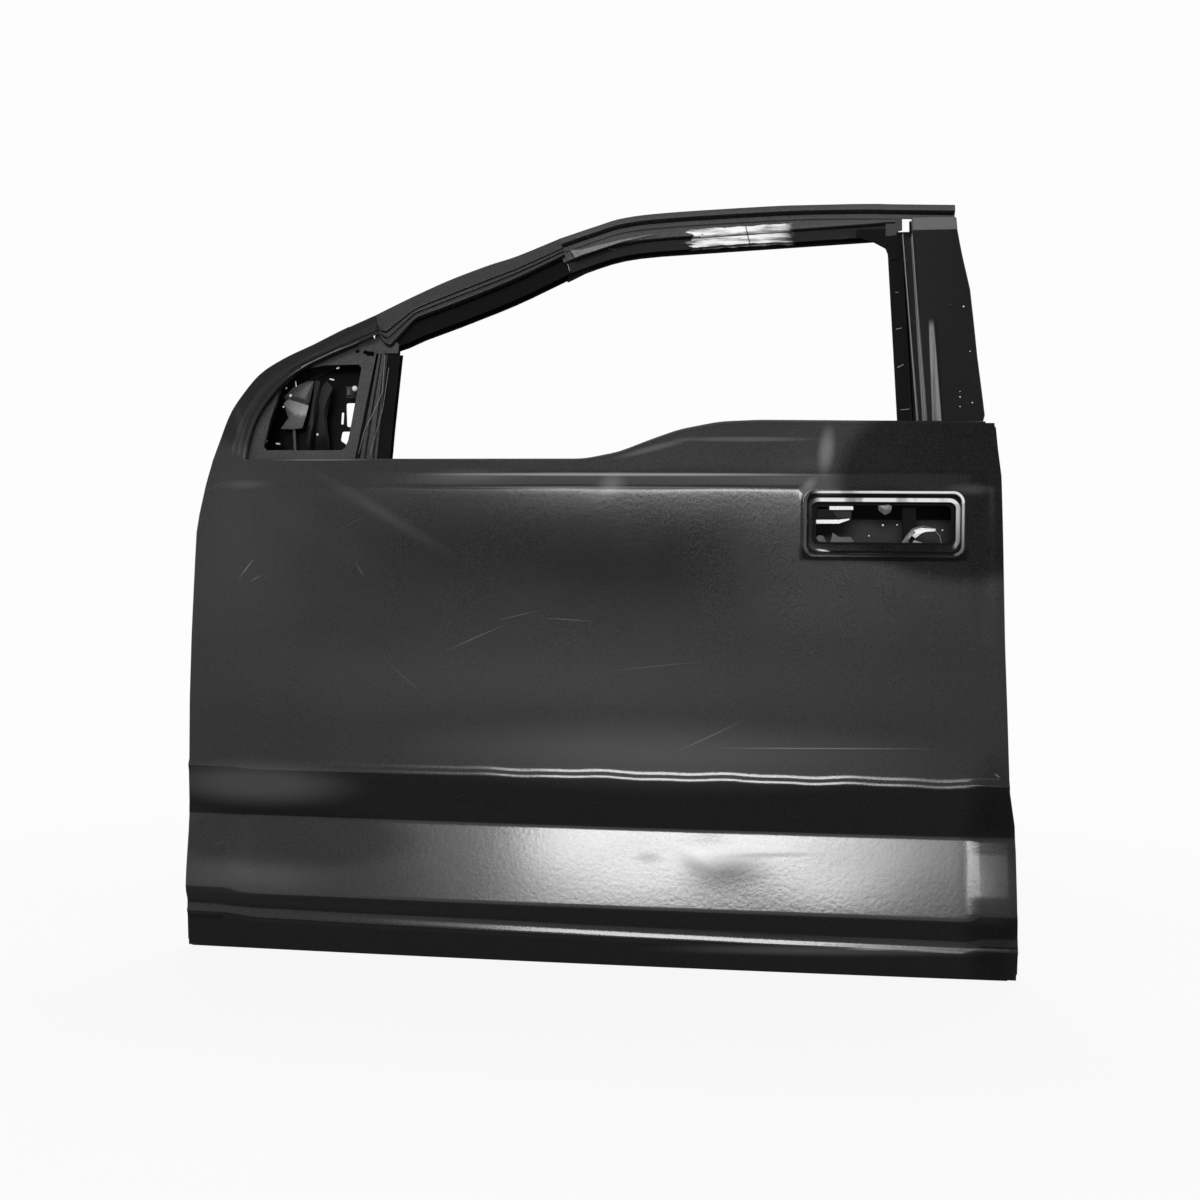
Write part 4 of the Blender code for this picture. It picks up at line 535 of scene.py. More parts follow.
def painted_rim_highlights(tree):
    """Painted highlights on the edges of the handle pocket: two along its top, one down each side, a dash
    below.
    """
    place, x, z = spot(tree)
    left, right = HANDLE.x - HANDLE_SIZE.x / 2 - DATUM.x, HANDLE.x + HANDLE_SIZE.x / 2 - DATUM.x
    middle = HANDLE.y - DATUM.z
    streak = noise(tree, place, 26.0, 3.0, 0.6, (1.0, 1.0, 0.2))
    fold = ring(tree, HANDLE_SIZE / 2, HANDLE_CORNER, -0.0030, 0.0004)
    land = ring(tree, HANDLE_HOLE / 2, HANDLE_HOLE_CORNER, 0.0004, 0.0062)
    top = span(tree, z, middle + 0.024, middle + 0.034)
    begin = span(tree, x, left + 0.008, left + 0.026)
    upper = times(tree, fold, top, begin, span(tree, streak, 0.30, 0.50, 0.55, 1.0))
    lower = times(tree, land, top, begin, span(tree, streak, 0.38, 0.56, 0.30, 0.95))
    side = times(tree, most(tree, land, fold), span(tree, x, right - 0.016, right - 0.010),
                 span(tree, z, middle - 0.06, middle + 0.03, 0.12, 0.55))
    near = times(tree, fold, span(tree, x, left + 0.008, left + 0.003), 0.08)
    dash = patch(tree, left + 0.028, middle - 0.0415, 0.013, 0.0022, -0.15, 0.3)
    return most(tree, upper, lower, side, near, times(tree, dash, 0.8))


# Scratches seen in the photo: centre X and Z, half length, half width, turn, strength
SCRATCHES = (
    (0.036, -0.03, 0.026, 0.0016, 0.9, 0.9), (0.052, -0.046, 0.016, 0.0012, 0.5, 0.7),
    (0.415, -0.135, 0.07, 0.0012, 0.42, 0.55), (0.48, -0.1, 0.045, 0.001, 0.25, 0.5),
    (0.56, -0.105, 0.05, 0.0011, -0.05, 0.6), (0.78, -0.283, 0.06, 0.0011, 0.45, 0.7),
    (1.215, -0.331, 0.007, 0.0018, -0.6, 1.0), (0.225, -0.03, 0.02, 0.0016, -1.0, 0.35),
    (0.7, -0.175, 0.09, 0.001, 0.12, 0.35), (0.3, -0.2, 0.05, 0.0012, -0.7, 0.25),
)
# Soft lighter patches where the skin's dusty haze is raised, as painted reflection: centre X and Z, half sizes,
# turn, change of the haze
HAZE_AND_SHEEN_PATCHES = (
    (0.06, -0.22, 0.30, 0.26, 0.0, 0.30), (0.17, 0.02, 0.17, 0.035, -0.52, 0.55),
    (0.30, 0.10, 0.20, 0.030, 0.10, 0.45), (0.62, -0.22, 0.62, 0.10, 0.0, 0.30),
    (0.00, 0.09, 0.05, 0.10, 0.0, 0.35), (0.60, 0.10, 0.10, 0.045, 0.0, 0.30),
    (0.88, 0.12, 0.07, 0.035, 0.3, 0.5), (1.13, 0.10, 0.14, 0.03, 0.0, 0.25),
)


# Areas of the skin that reflect less: centre X and Z, half sizes, turn, hardness, amount
DULL_AREAS = (
    (0.09, 0.36, 0.26, 0.215, 0.0, 0.88, 0.55), (1.155, 0.105, 0.205, 0.16, 0.0, 0.80, 0.80),
    (1.0425, 0.045, 0.140, 0.066, 0.0, 0.7, 0.70), (0.10, -0.46, 0.26, 0.060, 0.0, 0.6, 0.30),
    (0.60, 0.015, 0.52, 0.150, 0.0, 0.15, 0.70), (1.215, -0.490, 0.066, 0.240, 0.0, 0.40, 0.60),
    (0.812, -0.490, 0.095, 0.040, 0.12, 0.0, 0.62), (0.760, -0.480, 0.045, 0.020, -0.4, 0.0, 0.35),
    (0.690, -0.472, 0.030, 0.012, 0.0, 0.0, 0.30), (0.880, -0.462, 0.100, 0.006, 0.05, 0.0, 0.35),
)
# Painted highlights and reflections on the skin: centre X and Z, half sizes, turn, hardness, amount
SHEENS = (
    (0.955, 0.160, 0.017, 0.050, -0.10, 0.1, 0.50), (0.640, 0.1215, 0.36, 0.0034, 0.0, 0.3, 0.95),
    (0.610, 0.1005, 0.30, 0.0028, 0.0, 0.3, 0.40), (0.626, 0.105, 0.030, 0.026, 0.3, 0.0, 0.36),
    (0.924, 0.099, 0.032, 0.012, 0.85, 0.1, 0.40), (0.830, 0.177, 0.135, 0.0055, 0.0, 0.2, 0.24),
    (0.690, 0.163, 0.080, 0.0065, 0.26, 0.2, 0.24), (1.17, 0.100, 0.045, 0.012, 0.0, 0.1, 0.15),
    (0.26, 0.06, 0.17, 0.016, -0.52, 0.0, 0.08), (0.40, 0.120, 0.10, 0.014, 0.0, 0.0, 0.14),
    (0.03, 0.105, 0.06, 0.010, 0.0, 0.0, 0.12), (0.010, 0.20, 0.010, 0.09, 0.28, 0.0, 0.05),
    (0.70, -0.310, 0.52, 0.070, 0.0, 0.0, 0.20), (0.55, -0.200, 0.75, 0.100, 0.0, 0.0, 0.060),
    (0.06, -0.375, 0.20, 0.045, 0.0, 0.2, 0.20), (0.06, -0.520, 0.18, 0.040, 0.0, 0.0, 0.12),
    (0.02, 0.02, 0.18, 0.30, 0.0, 0.0, 0.05), (0.155, 0.1452, 0.100, 0.0022, 0.0, 0.3, 0.40),
    (1.03, -0.598, 0.050, 0.0030, 0.03, 0.1, 0.60), (0.95, -0.604, 0.300, 0.0120, 0.03, 0.0, 0.24),
    (1.200, -0.488, 0.080, 0.080, 0.0, 0.1, 0.10), (0.95, -0.296, 0.200, 0.0014, 0.02, 0.2, 0.45),
)


# Light grey of the scuffs and scratches, and of the painted highlights and reflections on the skin
SCUFF_AND_SHEEN_COLOUR = (0.22, 0.22, 0.225, 1.0)
# White of the painted highlights on the handle pocket's rim
RIM_HIGHLIGHT_COLOUR = (0.85, 0.85, 0.86, 1.0)
# Light grey of the B-pillar's painted highlights and of its spatter
RIDGE_SHEEN_AND_SPATTER_COLOUR = (0.34, 0.34, 0.34, 1.0)
SHEEN_COLOURS = ((0.16, 0.16, 0.16, 1.0), (0.86, 0.86, 0.86, 1.0))
# Shares of the effects in a coat's colour and gloss
CLOUD_SHARE = 0.62
SPECK_SHARE = 0.55
SCUFF_SHARE = 0.35
SCRATCH_SHARE = 0.55
CLEAN_GLOSS_SHARE = 0.30
# Turn, amount and seed of each set of scuffs
SCUFFS = ((0.45, 0.5, 2.0), (-0.3, 0.4, 7.0))
# Lower and upper limit of the scallop, their fade, and the gloss that it has more
SCALLOP = (-0.555, -0.430)
SCALLOP_FADE = 0.005
SCALLOP_GLOSS = 0.35
# Painted highlight on the header: limits in Z and X, each with its fade, and the X of the break in it
SHEEN_LOW = (0.5130, 0.5150)
SHEEN_HIGH = (0.5435, 0.5450)
SHEEN_START = (0.770, 0.800)
SHEEN_END = (0.860, 1.010)
SHEEN_BREAK = 0.958
# Painted highlights along the ridges of the B-pillar: X at Z = 0, and slope; then the left and the right edge
# of its strip
RIDGE_SHEEN_LINES = ((1.1070, -0.0614), (1.1172, -0.0526))
STRIP_EDGES = ((1.1209, -0.0192), (1.1427, -0.0567))


def new_material(name):
    """A material, its tree and the inputs of its shader."""
    material = bpy.data.materials.new(name)
    material.use_nodes = True
    tree = material.node_tree
    return material, tree, tree.nodes["Principled BSDF"].inputs


def roughen(tree, sockets, grain, strength, distance):
    bump = put(tree, "ShaderNodeBump", {"Height": grain["Height"], "Strength": strength, "Distance": distance})
    wire(tree, bump.outputs[0], sockets["Normal"])


def coat(name, shade, haze, roughness, gloss, skin=False):
    """Black electro-coat: dark and glossy where clean, hazed by dust; the skin has painted highlights."""
    material, tree, sockets = new_material(name)
    height = spot(tree)[2]
    grain = use(tree, "door_grain", Scale=1.0)
    dust = use(tree, "door_dust")["Mask"]
    level = dust
    if skin:
        level = times(tree, dust, CLOUD_SHARE)
        # Painted reflection: patches that raise the dust's haze
        for *area, change in HAZE_AND_SHEEN_PATCHES:
            level = calc(tree, "MULTIPLY_ADD", patch(tree, *area), times(tree, dust, change), level)
    level = calc(tree, "MULTIPLY_ADD", grain["Speck"], SPECK_SHARE, level, clamp=True)
    colour = blend(tree, level, (*shade, 1.0), (*haze, 1.0))
    marks = [use(tree, "door_scuffs", Angle=turn, Amount=amount, Seed=seed)["Mask"]
             for turn, amount, seed in SCUFFS]
    marks = times(tree, calc(tree, "ADD", *marks), SCUFF_SHARE)
    if skin:
        for *area, strength in SCRATCHES:
            marks = calc(tree, "MULTIPLY_ADD", patch(tree, *area, 0.1), strength * SCRATCH_SHARE, marks)
        # Painted highlights and reflections, laid on in the same light grey as the scuffs and scratches
        for *area, amount in SHEENS:
            marks = calc(tree, "MULTIPLY_ADD", patch(tree, *area), amount, marks)
    colour = blend(tree, calc(tree, "MULTIPLY", marks, 1.0, clamp=True), colour, SCUFF_AND_SHEEN_COLOUR)
    # Painted highlights along the rim of the handle pocket
    if skin:
        colour = blend(tree, painted_rim_highlights(tree), colour, RIM_HIGHLIGHT_COLOUR)
    wire(tree, colour, sockets["Base Color"])
    rough = calc(tree, "MULTIPLY_ADD", dust, 0.05, roughness)
    wire(tree, calc(tree, "MULTIPLY_ADD", grain["Speck"], 0.02, rough), sockets["Roughness"])
    shine = span(tree, dust, 0.0, 0.4, gloss * CLEAN_GLOSS_SHARE, gloss)
    if skin:
        low, high = SCALLOP
        bowl = times(tree, span(tree, height, low, low + SCALLOP_FADE),
                     span(tree, height, high, high + SCALLOP_FADE, 1.0, 0.0))
        shine = times(tree, shine, calc(tree, "MULTIPLY_ADD", bowl, SCALLOP_GLOSS, 1.0))
        for *area, amount in DULL_AREAS:
            shine = times(tree, shine, calc(tree, "MULTIPLY_ADD", patch(tree, *area), -amount, 1.0))
    wire(tree, shine, sockets["Specular IOR Level"])
    roughen(tree, sockets, grain, 0.12, 0.0006)
    sockets["IOR"].default_value = 1.40
    sockets["Metallic"].default_value = 0.0
    return material


def metal(name, colour, roughness, stain):
    """Plated steel with stains and fine grain."""
    _, tree, sockets = new_material(name)
    grain = use(tree, "door_grain", Scale=1.3)
    blot = span(tree, noise(tree, spot(tree)[0], 38.0, 5.0, 0.6), 0.42, 0.62)
    level = calc(tree, "MULTIPLY_ADD", grain["Speck"], 0.15, blot, clamp=True)
    wire(tree, blend(tree, level, (*colour, 1.0), (*stain, 1.0)), sockets["Base Color"])
    wire(tree, calc(tree, "MULTIPLY_ADD", blot, 0.2, roughness), sockets["Roughness"])
    sockets["Metallic"].default_value = 0.85
    roughen(tree, sockets, grain, 0.2, 0.0005)


def cover(material, mask, colour):
    """Lay a colour over a coat, by a mask."""
    tree = material.node_tree
    socket = tree.nodes["Principled BSDF"].inputs["Base Color"]
    wire(tree, blend(tree, mask, socket.links[0].from_socket, colour), socket)


def header_sheen_coat(*values):
    """Coat with a painted highlight, a streaked light band, along the rear half of the header's lower face."""
    material = coat(*values)
    tree = material.node_tree
    place, x, z = spot(tree)
    climb = calc(tree, "MINIMUM", calc(tree, "MULTIPLY_ADD", x, 0.055, -0.0468), 0.0)
    level = calc(tree, "SUBTRACT", z, climb)
    ragged = noise(tree, place, 48.0, 5.0, 0.62, (0.8, 1.0, 2.2))
    edge = calc(tree, "MULTIPLY_ADD", ragged, 0.010, -0.005)
    band = times(tree, span(tree, calc(tree, "ADD", level, edge), *SHEEN_LOW),
                 span(tree, calc(tree, "SUBTRACT", level, edge), *SHEEN_HIGH, 1.0, 0.0))
    rough_x = calc(tree, "MULTIPLY_ADD", ragged, 0.10, x)
    along = times(tree, span(tree, rough_x, *SHEEN_START), span(tree, rough_x, *SHEEN_END, 1.0, 0.0))
    # Painted highlight: a light, ragged band with a dim break in it
    bare = times(tree, band, span(tree, calc(tree, "MULTIPLY_ADD", along, 0.55, ragged), 0.66, 0.84))
    break_line = calc(tree, "SUBTRACT", calc(tree, "MULTIPLY_ADD", z, 0.25, x), SHEEN_BREAK)
    bare = times(tree, bare, span(tree, calc(tree, "ABSOLUTE", break_line), 0.0004, 0.0016, 0.15, 1.0))
    streak = noise(tree, place, 80.0, 4.0, 0.6, (0.18, 1.0, 1.6))
    cover(material, bare, blend(tree, span(tree, streak, 0.34, 0.60), *SHEEN_COLOURS))


def ridge_coat(*values):
    """Coat of the B-pillar with painted highlights on its ridges, tapered strip and upper band, and a light
    spatter.
    """
    material = coat(*values)
    tree = material.node_tree
    place, x, z = spot(tree)
    wide = span(tree, z, 0.20, 0.50, 0.0042, 0.0018)
    lines = []
    for start, slope in RIDGE_SHEEN_LINES:
        off = calc(tree, "SUBTRACT", x, calc(tree, "MULTIPLY_ADD", z, slope, start))
        off = calc(tree, "DIVIDE", calc(tree, "ABSOLUTE", off), wide)
        lines.append(span(tree, off, 0.3, 1.0, 1.0, 0.0))
    light = times(tree, most(tree, *lines), 0.62)
    streak = noise(tree, place, 30.0, 3.0, 0.6, (9.0, 1.0, 0.35))
    left, right = (calc(tree, "MULTIPLY_ADD", z, slope, start) for start, slope in STRIP_EDGES)
    strip = times(tree, span(tree, calc(tree, "SUBTRACT", x, left), -0.0004, 0.0010),
                  span(tree, calc(tree, "SUBTRACT", right, x), -0.0004, 0.0010),
                  span(tree, z, 0.358, 0.378, 1.0, 0.0), span(tree, streak, 0.3, 0.7, 0.32, 0.62))
    band = times(tree, span(tree, z, 0.5270, 0.5290), span(tree, x, 1.088, 1.092), 0.34)
    few = span(tree, noise(tree, place, 9.0, 2.0, 0.5), 0.52, 0.68)
    spatter = times(tree, span(tree, noise(tree, place, 240.0, 2.0, 0.5), 0.70, 0.76, 0.0, 0.5), few)
    # Painted highlights on ridges, strip and upper band, together with the spatter
    cover(material, most(tree, light, strip, band, spatter), RIDGE_SHEEN_AND_SPATTER_COLOUR)


# Maker, name, shade and its blue, haze and its blue, roughness, gloss
COATS = (
    (coat, "frame_coat", 0.0045, 0.0047, 0.028, 0.029, 0.26, 0.30),
    (coat, "bracket_coat", 0.0060, 0.0062, 0.050, 0.051, 0.30, 0.35),
    (header_sheen_coat, "header_coat", 0.0045, 0.0047, 0.042, 0.043, 0.26, 0.40),
    (header_sheen_coat, "run_coat", 0.0030, 0.0031, 0.008, 0.0082, 0.40, 0.15),
    (ridge_coat, "pillar_coat", 0.0030, 0.0031, 0.0060, 0.0062, 0.34, 0.12),
    (coat, "inner_coat", 0.0040, 0.0042, 0.012, 0.0123, 0.42, 0.25),
    # The next two are darker copies of the coat, as painted shade on the run channels, the pieces deep in the
    # handle pocket and behind the sail
    (coat, "channel_coat", 0.0020, 0.0021, 0.0045, 0.0046, 0.50, 0.06),
    (coat, "sail_coat", 0.0014, 0.0015, 0.0045, 0.0046, 0.40, 0.07),
    (coat, "raw_bracket", 0.030, 0.030, 0.15, 0.152, 0.35, 0.5),
    (coat, "black", 0.0006, 0.0006, 0.0012, 0.0012, 0.6, 0.02),
    (coat, "raw_bright", 0.55, 0.55, 0.85, 0.86, 0.35, 0.5),
    (coat, "raw_light", 0.07, 0.07, 0.20, 0.202, 0.35, 0.5),
    (coat, "raw_grey", 0.020, 0.020, 0.060, 0.061, 0.40, 0.4),
    (coat, "raw_dark", 0.0040, 0.0041, 0.014, 0.0142, 0.45, 0.2),
    (coat, "mastic", 0.02, 0.02, 0.05, 0.05, 0.8, 0.3),
)


def build_finishes():
    build_groups()
    settings = bpy.context.scene.door_settings
    coat("skin_coat", settings.paint, settings.haze, settings.gloss, 0.50, skin=True)
    for make, name, shade, shade_blue, haze, haze_blue, roughness, gloss in COATS:
        make(name, (shade, shade, shade_blue), (haze, haze, haze_blue), roughness, gloss)
    metal("zinc", (0.42, 0.42, 0.42), 0.36, (0.16, 0.16, 0.16))


# ---------------------------------------------------------------- outer panel

def front_x(z):
    return FRONT_SWEEP * interpolate(FRONT_EDGE_SHARES, z / BELT_HEIGHT)


def rear_x(z):
    return PANEL_LENGTH + REAR_SWEEP * interpolate(REAR_EDGE_SHARES, z / BELT_HEIGHT)


def averaged(function, at, reach, samples=12):
    return sum(function(at + reach * ((k + 0.5) / samples * 2 - 1)) for k in range(samples)) / samples


def belt_z(x):
    return BELT_HEIGHT + BELT_RISE * averaged(lambda s: interpolate(BELT_SHARES, s), x / PANEL_LENGTH, 0.012)


def section_y(shares, z):
    above = max(z - SHOULDER_HEIGHT, 0)
    return interpolate(shares, min(z / SHOULDER_HEIGHT, 1)) * SECTION_DEPTH + above * BELT_LEAN_SHARE


SECTION_STEP = 0.0005


def fold_reach(z):
    """Half width over which the body section is rounded."""
    if 0.284 < z < 0.308:
        return 0.0013
    return 0.0022 if z < 0.45 else 0.0040


def section_table(shares):
    return [averaged(lambda z: section_y(shares, z), k * SECTION_STEP, fold_reach(k * SECTION_STEP))
            for k in range(-20, 1740)]


CAD_SECTION = section_table(SECTION_SHARES)
LIT_SECTION = section_table(LIT_SECTION_SHARES)


def smooth_section(x, z):
    """Depth of the visible section, which meets the solid's section near both ends."""
    at = z / SECTION_STEP + 20
    k = min(max(int(math.floor(at)), 0), len(CAD_SECTION) - 2)
    begin = min(max((x - LIT_START[0]) / LIT_START[1], 0), 1)
    share = begin * min(max((LIT_END[0] - x) / LIT_END[1], 0), 1)
    value = [table[k] + (table[k + 1] - table[k]) * (at - k) for table in (CAD_SECTION, LIT_SECTION)]
    return value[0] + (value[1] - value[0]) * share


def crease_shift(x, z):
    """How far the body lines wander up and down along the door."""
    near = bell(z, 0.292, 0.030)
    open_share = min(max((x - 0.30) / 0.25, 0), 1)
    wander = (math.sin(x * 31 + 0.6) * 0.0011 + math.sin(x * 67 + 2.1) * 0.0007) * open_share
    bead = -0.012 * (x - 0.55) * bell(z, 0.052, 0.022)
    return wander * near + bead + math.sin(x * 23 + 1) * 0.0006 * bell(z, 0.755, 0.03)


def dents(x, z):
    """Small uneven places of a thin stamping, inboard positive."""
    depth = sum(deep * bell(x, at_x, wide) * bell(z, at_z, high) for deep, at_x, wide, at_z, high in DENTS)
    depth += 0.00035 * math.sin(x * 19 + 1.0) * bell(z, 0.165, 0.045) * bell(x, 0.85, 0.35)
    return depth + 0.00025 * math.sin(x * 14 + z * 6) * math.sin(z * 17) * bell(z, 0.52, 0.16)


def skin_point(x, z):
    centre = (x / PANEL_LENGTH - CROWN_CENTRE_SHARE) * 2
    y = smooth_section(x, z - crease_shift(x, z)) + CROWN_DEPTH * centre * centre + dents(x, z)
    return Vector((x, y, z))


def spread(low, high, step):
    """Evenly spaced values from low to just before high."""
    count = max(round((high - low) / step), 1)
    return [low + (high - low) * k / count for k in range(count)]


def inboard(across, along):
    normal = across.cross(along).normalized()
    return normal if normal.y > 0 else -normal


def chain_frames(points, inward):
    """Outward direction and offset direction at each point of an edge."""
    frames = []
    last = len(points) - 1
    for k, (point, inner) in enumerate(zip(points, inward)):
        outward = (point - inner).normalized()
        before = points[max(k, 1)] - points[max(k, 1) - 1]
        after = points[min(k + 1, last)] - points[min(k, last - 1)]
        one, two = inboard(outward, before), inboard(outward, after)
        frames.append((point, outward, (one + two) / (1 + one.dot(two))))
    return frames


def hem_rings(edge, outward, normal):
    ring = []
    for k in range(1, 6):
        turn = math.pi * k / 5
        ring.append(edge + outward * HEM_STEP * math.sin(turn) + normal * HEM_STEP * (1 - math.cos(turn)))
    ring.append(edge - outward * HEM_WIDTH + normal * HEM_STEP * 2)
    return ring


def flange_rings(edge, outward, normal):
    ring = []
    for k in range(1, 5):
        turn = math.pi / 2 * k / 4
        ring.append(edge + outward * BELT_RADIUS * math.sin(turn) + normal * BELT_RADIUS * (1 - math.cos(turn)))
    ring.append(ring[-1] + normal * BELT_FLANGE)
    return ring


def pocket_ring(point, size, corner, lift=0.0, depth=0.0):
    """The point of a rounded rectangle that lies straight inward of a point outside it."""
    away = point - HANDLE
    core = Vector((size.x / 2 - corner, size.y / 2 - corner))
    near = Vector((min(max(away.x, -core.x), core.x), min(max(away.y, -core.y), core.y)))
    at = HANDLE + near + (away - near).normalized() * corner
    return skin_point(at.x, at.y) + Vector((0, depth - lift, 0))


def inset(size, by):
    return Vector((size.x - by * 2, size.y - by * 2))


def nearest(values, at):
    """Number of the value that lies nearest."""
    return min(range(len(values)), key=lambda k: abs(values[k] - at))


def build_skin():
    """Outer panel with hems, folds, body lines, handle pocket and the stepped front arm."""
    reach = HANDLE_SIZE / 2 + Vector((HANDLE_MARGIN, HANDLE_MARGIN))
    low, high = HANDLE - reach, HANDLE + reach
    heights = [z for row in FINE_ROWS for z in spread(*row)]
    heights += (spread(FINE_ROWS[-1][1], low.y, PANEL_ROW_STEP) + spread(low.y, high.y, POCKET_STEP)
                + spread(high.y, SHOULDER_HEIGHT, SHOULDER_ROW_STEP) + [SHOULDER_HEIGHT])
    columns = (spread(SAIL_EDGE_X, low.x, FRONT_COLUMN_STEP)[1:] + spread(low.x, high.x, POCKET_STEP)
               + spread(high.x, LATCH_FACE_X, REAR_COLUMN_STEP) + [LATCH_FACE_X])
    shares = [share for share, _ in ARM_PROFILE]
    above = ROWS_ABOVE_SHOULDER
    grid = []
    for k in range(len(heights) + above):
        row = []
        for x in (*shares, *columns, "notch", "rear"):
            arm = len(row) < len(shares)
            anchor = SAIL_EDGE_X if arm else (LATCH_FACE_X if isinstance(x, str) else x)
            top = belt_z(anchor) - BELT_RADIUS
            z = heights[k] if k < len(heights) else (
                SHOULDER_HEIGHT + (top - SHOULDER_HEIGHT) * (k - len(heights) + 1) / above)
            if arm:
                x = front_x(z) + (SAIL_EDGE_X - front_x(z)) * x
            elif x == "rear":
                x = rear_x(z)
            elif x == "notch":
                x = rear_x(z) - HEM_NOTCH
            row.append(skin_point(x, z))
        grid.append(row)
    belt, last, sail = len(grid) - 1, len(grid[0]) - 1, len(shares) - 1
    xs = [SAIL_EDGE_X, *columns]
    first_column, last_column = sail + nearest(xs, low.x), sail + nearest(xs, high.x)
    first_row, last_row = nearest(heights, low.y), nearest(heights, high.y)

    bm = bmesh.new()
    add_strip(bm, grid, skip=lambda i, k: first_row <= i < last_row and first_column <= k < last_column)

    collar = [grid[first_row][k] for k in range(first_column, last_column)]
    collar += [grid[i][last_column] for i in range(first_row, last_row)]
    collar += [grid[last_row][k] for k in range(last_column, first_column, -1)]
    collar += [grid[i][first_column] for i in range(last_row, first_row, -1)]
    flat = [Vector((p.x, p.z)) for p in collar]
    rings = [collar]
    for out, lift in POCKET_RIM:
        rings.append([pocket_ring(p, inset(HANDLE_SIZE, -out), HANDLE_CORNER + out, lift) for p in flat])
    for size, corner, table in ((HANDLE_SIZE, HANDLE_CORNER, POCKET_WALL),
                                (HANDLE_HOLE, HANDLE_HOLE_CORNER, POCKET_LAND)):
        for by, depth in table:
            rings.append([pocket_ring(p, inset(size, by), corner - by, 0, depth) for p in flat])
    add_strip(bm, rings, closed=True)

    base = grid[belt][:sail + 1]
    stations = [(base[0].x, base[0].z, base[-1].x, base[-1].z)]
    stations += [(PANEL_LENGTH * a, frame_z(b), PANEL_LENGTH * c, frame_z(d)) for a, b, c, d in ARM_SHARES]
    arm = []
    for number, (ox, oz, ix, iz) in enumerate(smooth_pairs(stations, 5)):
        outer, inner = Vector((ox, 0, oz)), Vector((ix, 0, iz))
        grow = min(number / 4, 1)
        row = []
        for start, (share, step) in zip(base, ARM_PROFILE):
            point = outer.lerp(inner, share)
            point.y = start.y + ARM_LEAN_SHARE * (point.z - start.z) - step * SKIN_SHEET * grow
            row.append(point)
        arm.append(row)
    arm[0] = base
    add_strip(bm, arm)

    bottom = range(2, last)
    rear = range(4, belt)
    front_rows = [grid[i] for i in range(4, belt + 1)] + arm[1:-4]
    for edge, inward in (
            ([grid[0][k] for k in bottom], [grid[2][k] for k in bottom]),
            ([grid[i][last] for i in rear], [grid[i][last - 1] for i in rear]),
            ([row[0] for row in front_rows], [row[3] for row in front_rows])):
        add_strip(bm, [[p, *hem_rings(p, out, normal)] for p, out, normal in chain_frames(edge, inward)])

    run = range(last - 1, sail, -1)
    belt_frames = chain_frames([grid[belt][k] for k in run], [grid[belt - 1][k] for k in run])
    sail_frames = chain_frames([row[-1] for row in arm[1:-4]], [row[-2] for row in arm[1:-4]])
    corner = (grid[belt][sail], belt_frames[-1][1] + sail_frames[0][1],
              (belt_frames[-1][2] + sail_frames[0][2]) / 2)
    chain = [*belt_frames, corner, *sail_frames]
    add_strip(bm, [[p, *flange_rings(p, out, normal)] for p, out, normal in chain])
    finish_piece("skin", bm, "skin_coat", ("outer_panel",), SKIN_SHEET)


# ---------------------------------------------------------------- window frame

def station_rows(shares, steps, section):
    rows = []
    stations = smooth_pairs(shares, steps)
    for k, (tx, tz, bx, bz) in enumerate(stations):
        start, end = frame_point(tx, tz), frame_point(bx, bz)
        across = (end - start).normalized()
        line = section((end - start).length, k / (len(stations) - 1))
        rows.append([start + across * a + FRAME_NORMAL * b for a, b in line])
    return rows


def leg_section(width, travel):
    open_share = min(max(travel - LEG_FOOT_SHARE, 0) / LEG_FOOT_SHARE, 1)
    face = width - (LEG_RUN_LEG + FRAME_STEP * 2) * open_share
    row = [(face * a, RIDGE_DEPTH * b) for a, b in zip(LEG_RIDGE_SHARES, LEG_RIDGE_DEPTH_SHARES)]
    return soften([*row, (face, RIDGE_DEPTH), (face, GLASS_DEPTH - RUN_HALF_WIDTH - FRAME_STEP)], 0.0016)


def header_section(width, _):
    face = width - RUN_LEG - FRAME_STEP * 2
    fold = HEADER_GROOVE_DEPTH / 6
    line = [(0, 0), (HEADER_LIP, -fold / 2), (HEADER_LIP + fold, fold),
            (HEADER_LIP + fold * 2, HEADER_GROOVE_DEPTH),
            (HEADER_GROOVE - fold, HEADER_GROOVE_DEPTH), (HEADER_GROOVE + fold, HEADER_FACE_DEPTH),
            (face - fold, HEADER_FACE_DEPTH), (face, HEADER_FACE_DEPTH + fold),
            (face, GLASS_DEPTH - RUN_HALF_WIDTH + FRAME_STEP)]
    return soften(line, 0.0014)


def lapped(rows, reach=0.006, step=0.0013):
    """Rows with a joggled lap in front of the first one, which slips under the neighbour."""
    first = [p + FRAME_NORMAL * step for p in rows[0]]
    before = [p + (a - b).normalized() * reach for p, a, b in zip(first, rows[0], rows[1])]
    return [before, first, *rows]


def strip_piece(name, rows, material, nodes, skip=None, sheet=FRAME_SHEET):
    bm = bmesh.new()
    add_strip(bm, rows, skip=skip)
    return finish_piece(name, bm, material, nodes, sheet)


def build_frame():
    """Front leg and header of the window frame, with soft folds."""
    strip_piece("leg", lapped(station_rows(LEG_SHARES, 9, leg_section)), "frame_coat",
                ("frame_leg_outer",))
    steps = 9
    rows = lapped(station_rows(HEADER_SHARES, steps, header_section))
    tail = len(rows) - 1 - steps
    strip_piece("header", rows, "header_coat", ("header_outer",),
                skip=lambda i, k: i >= tail and k >= 13)


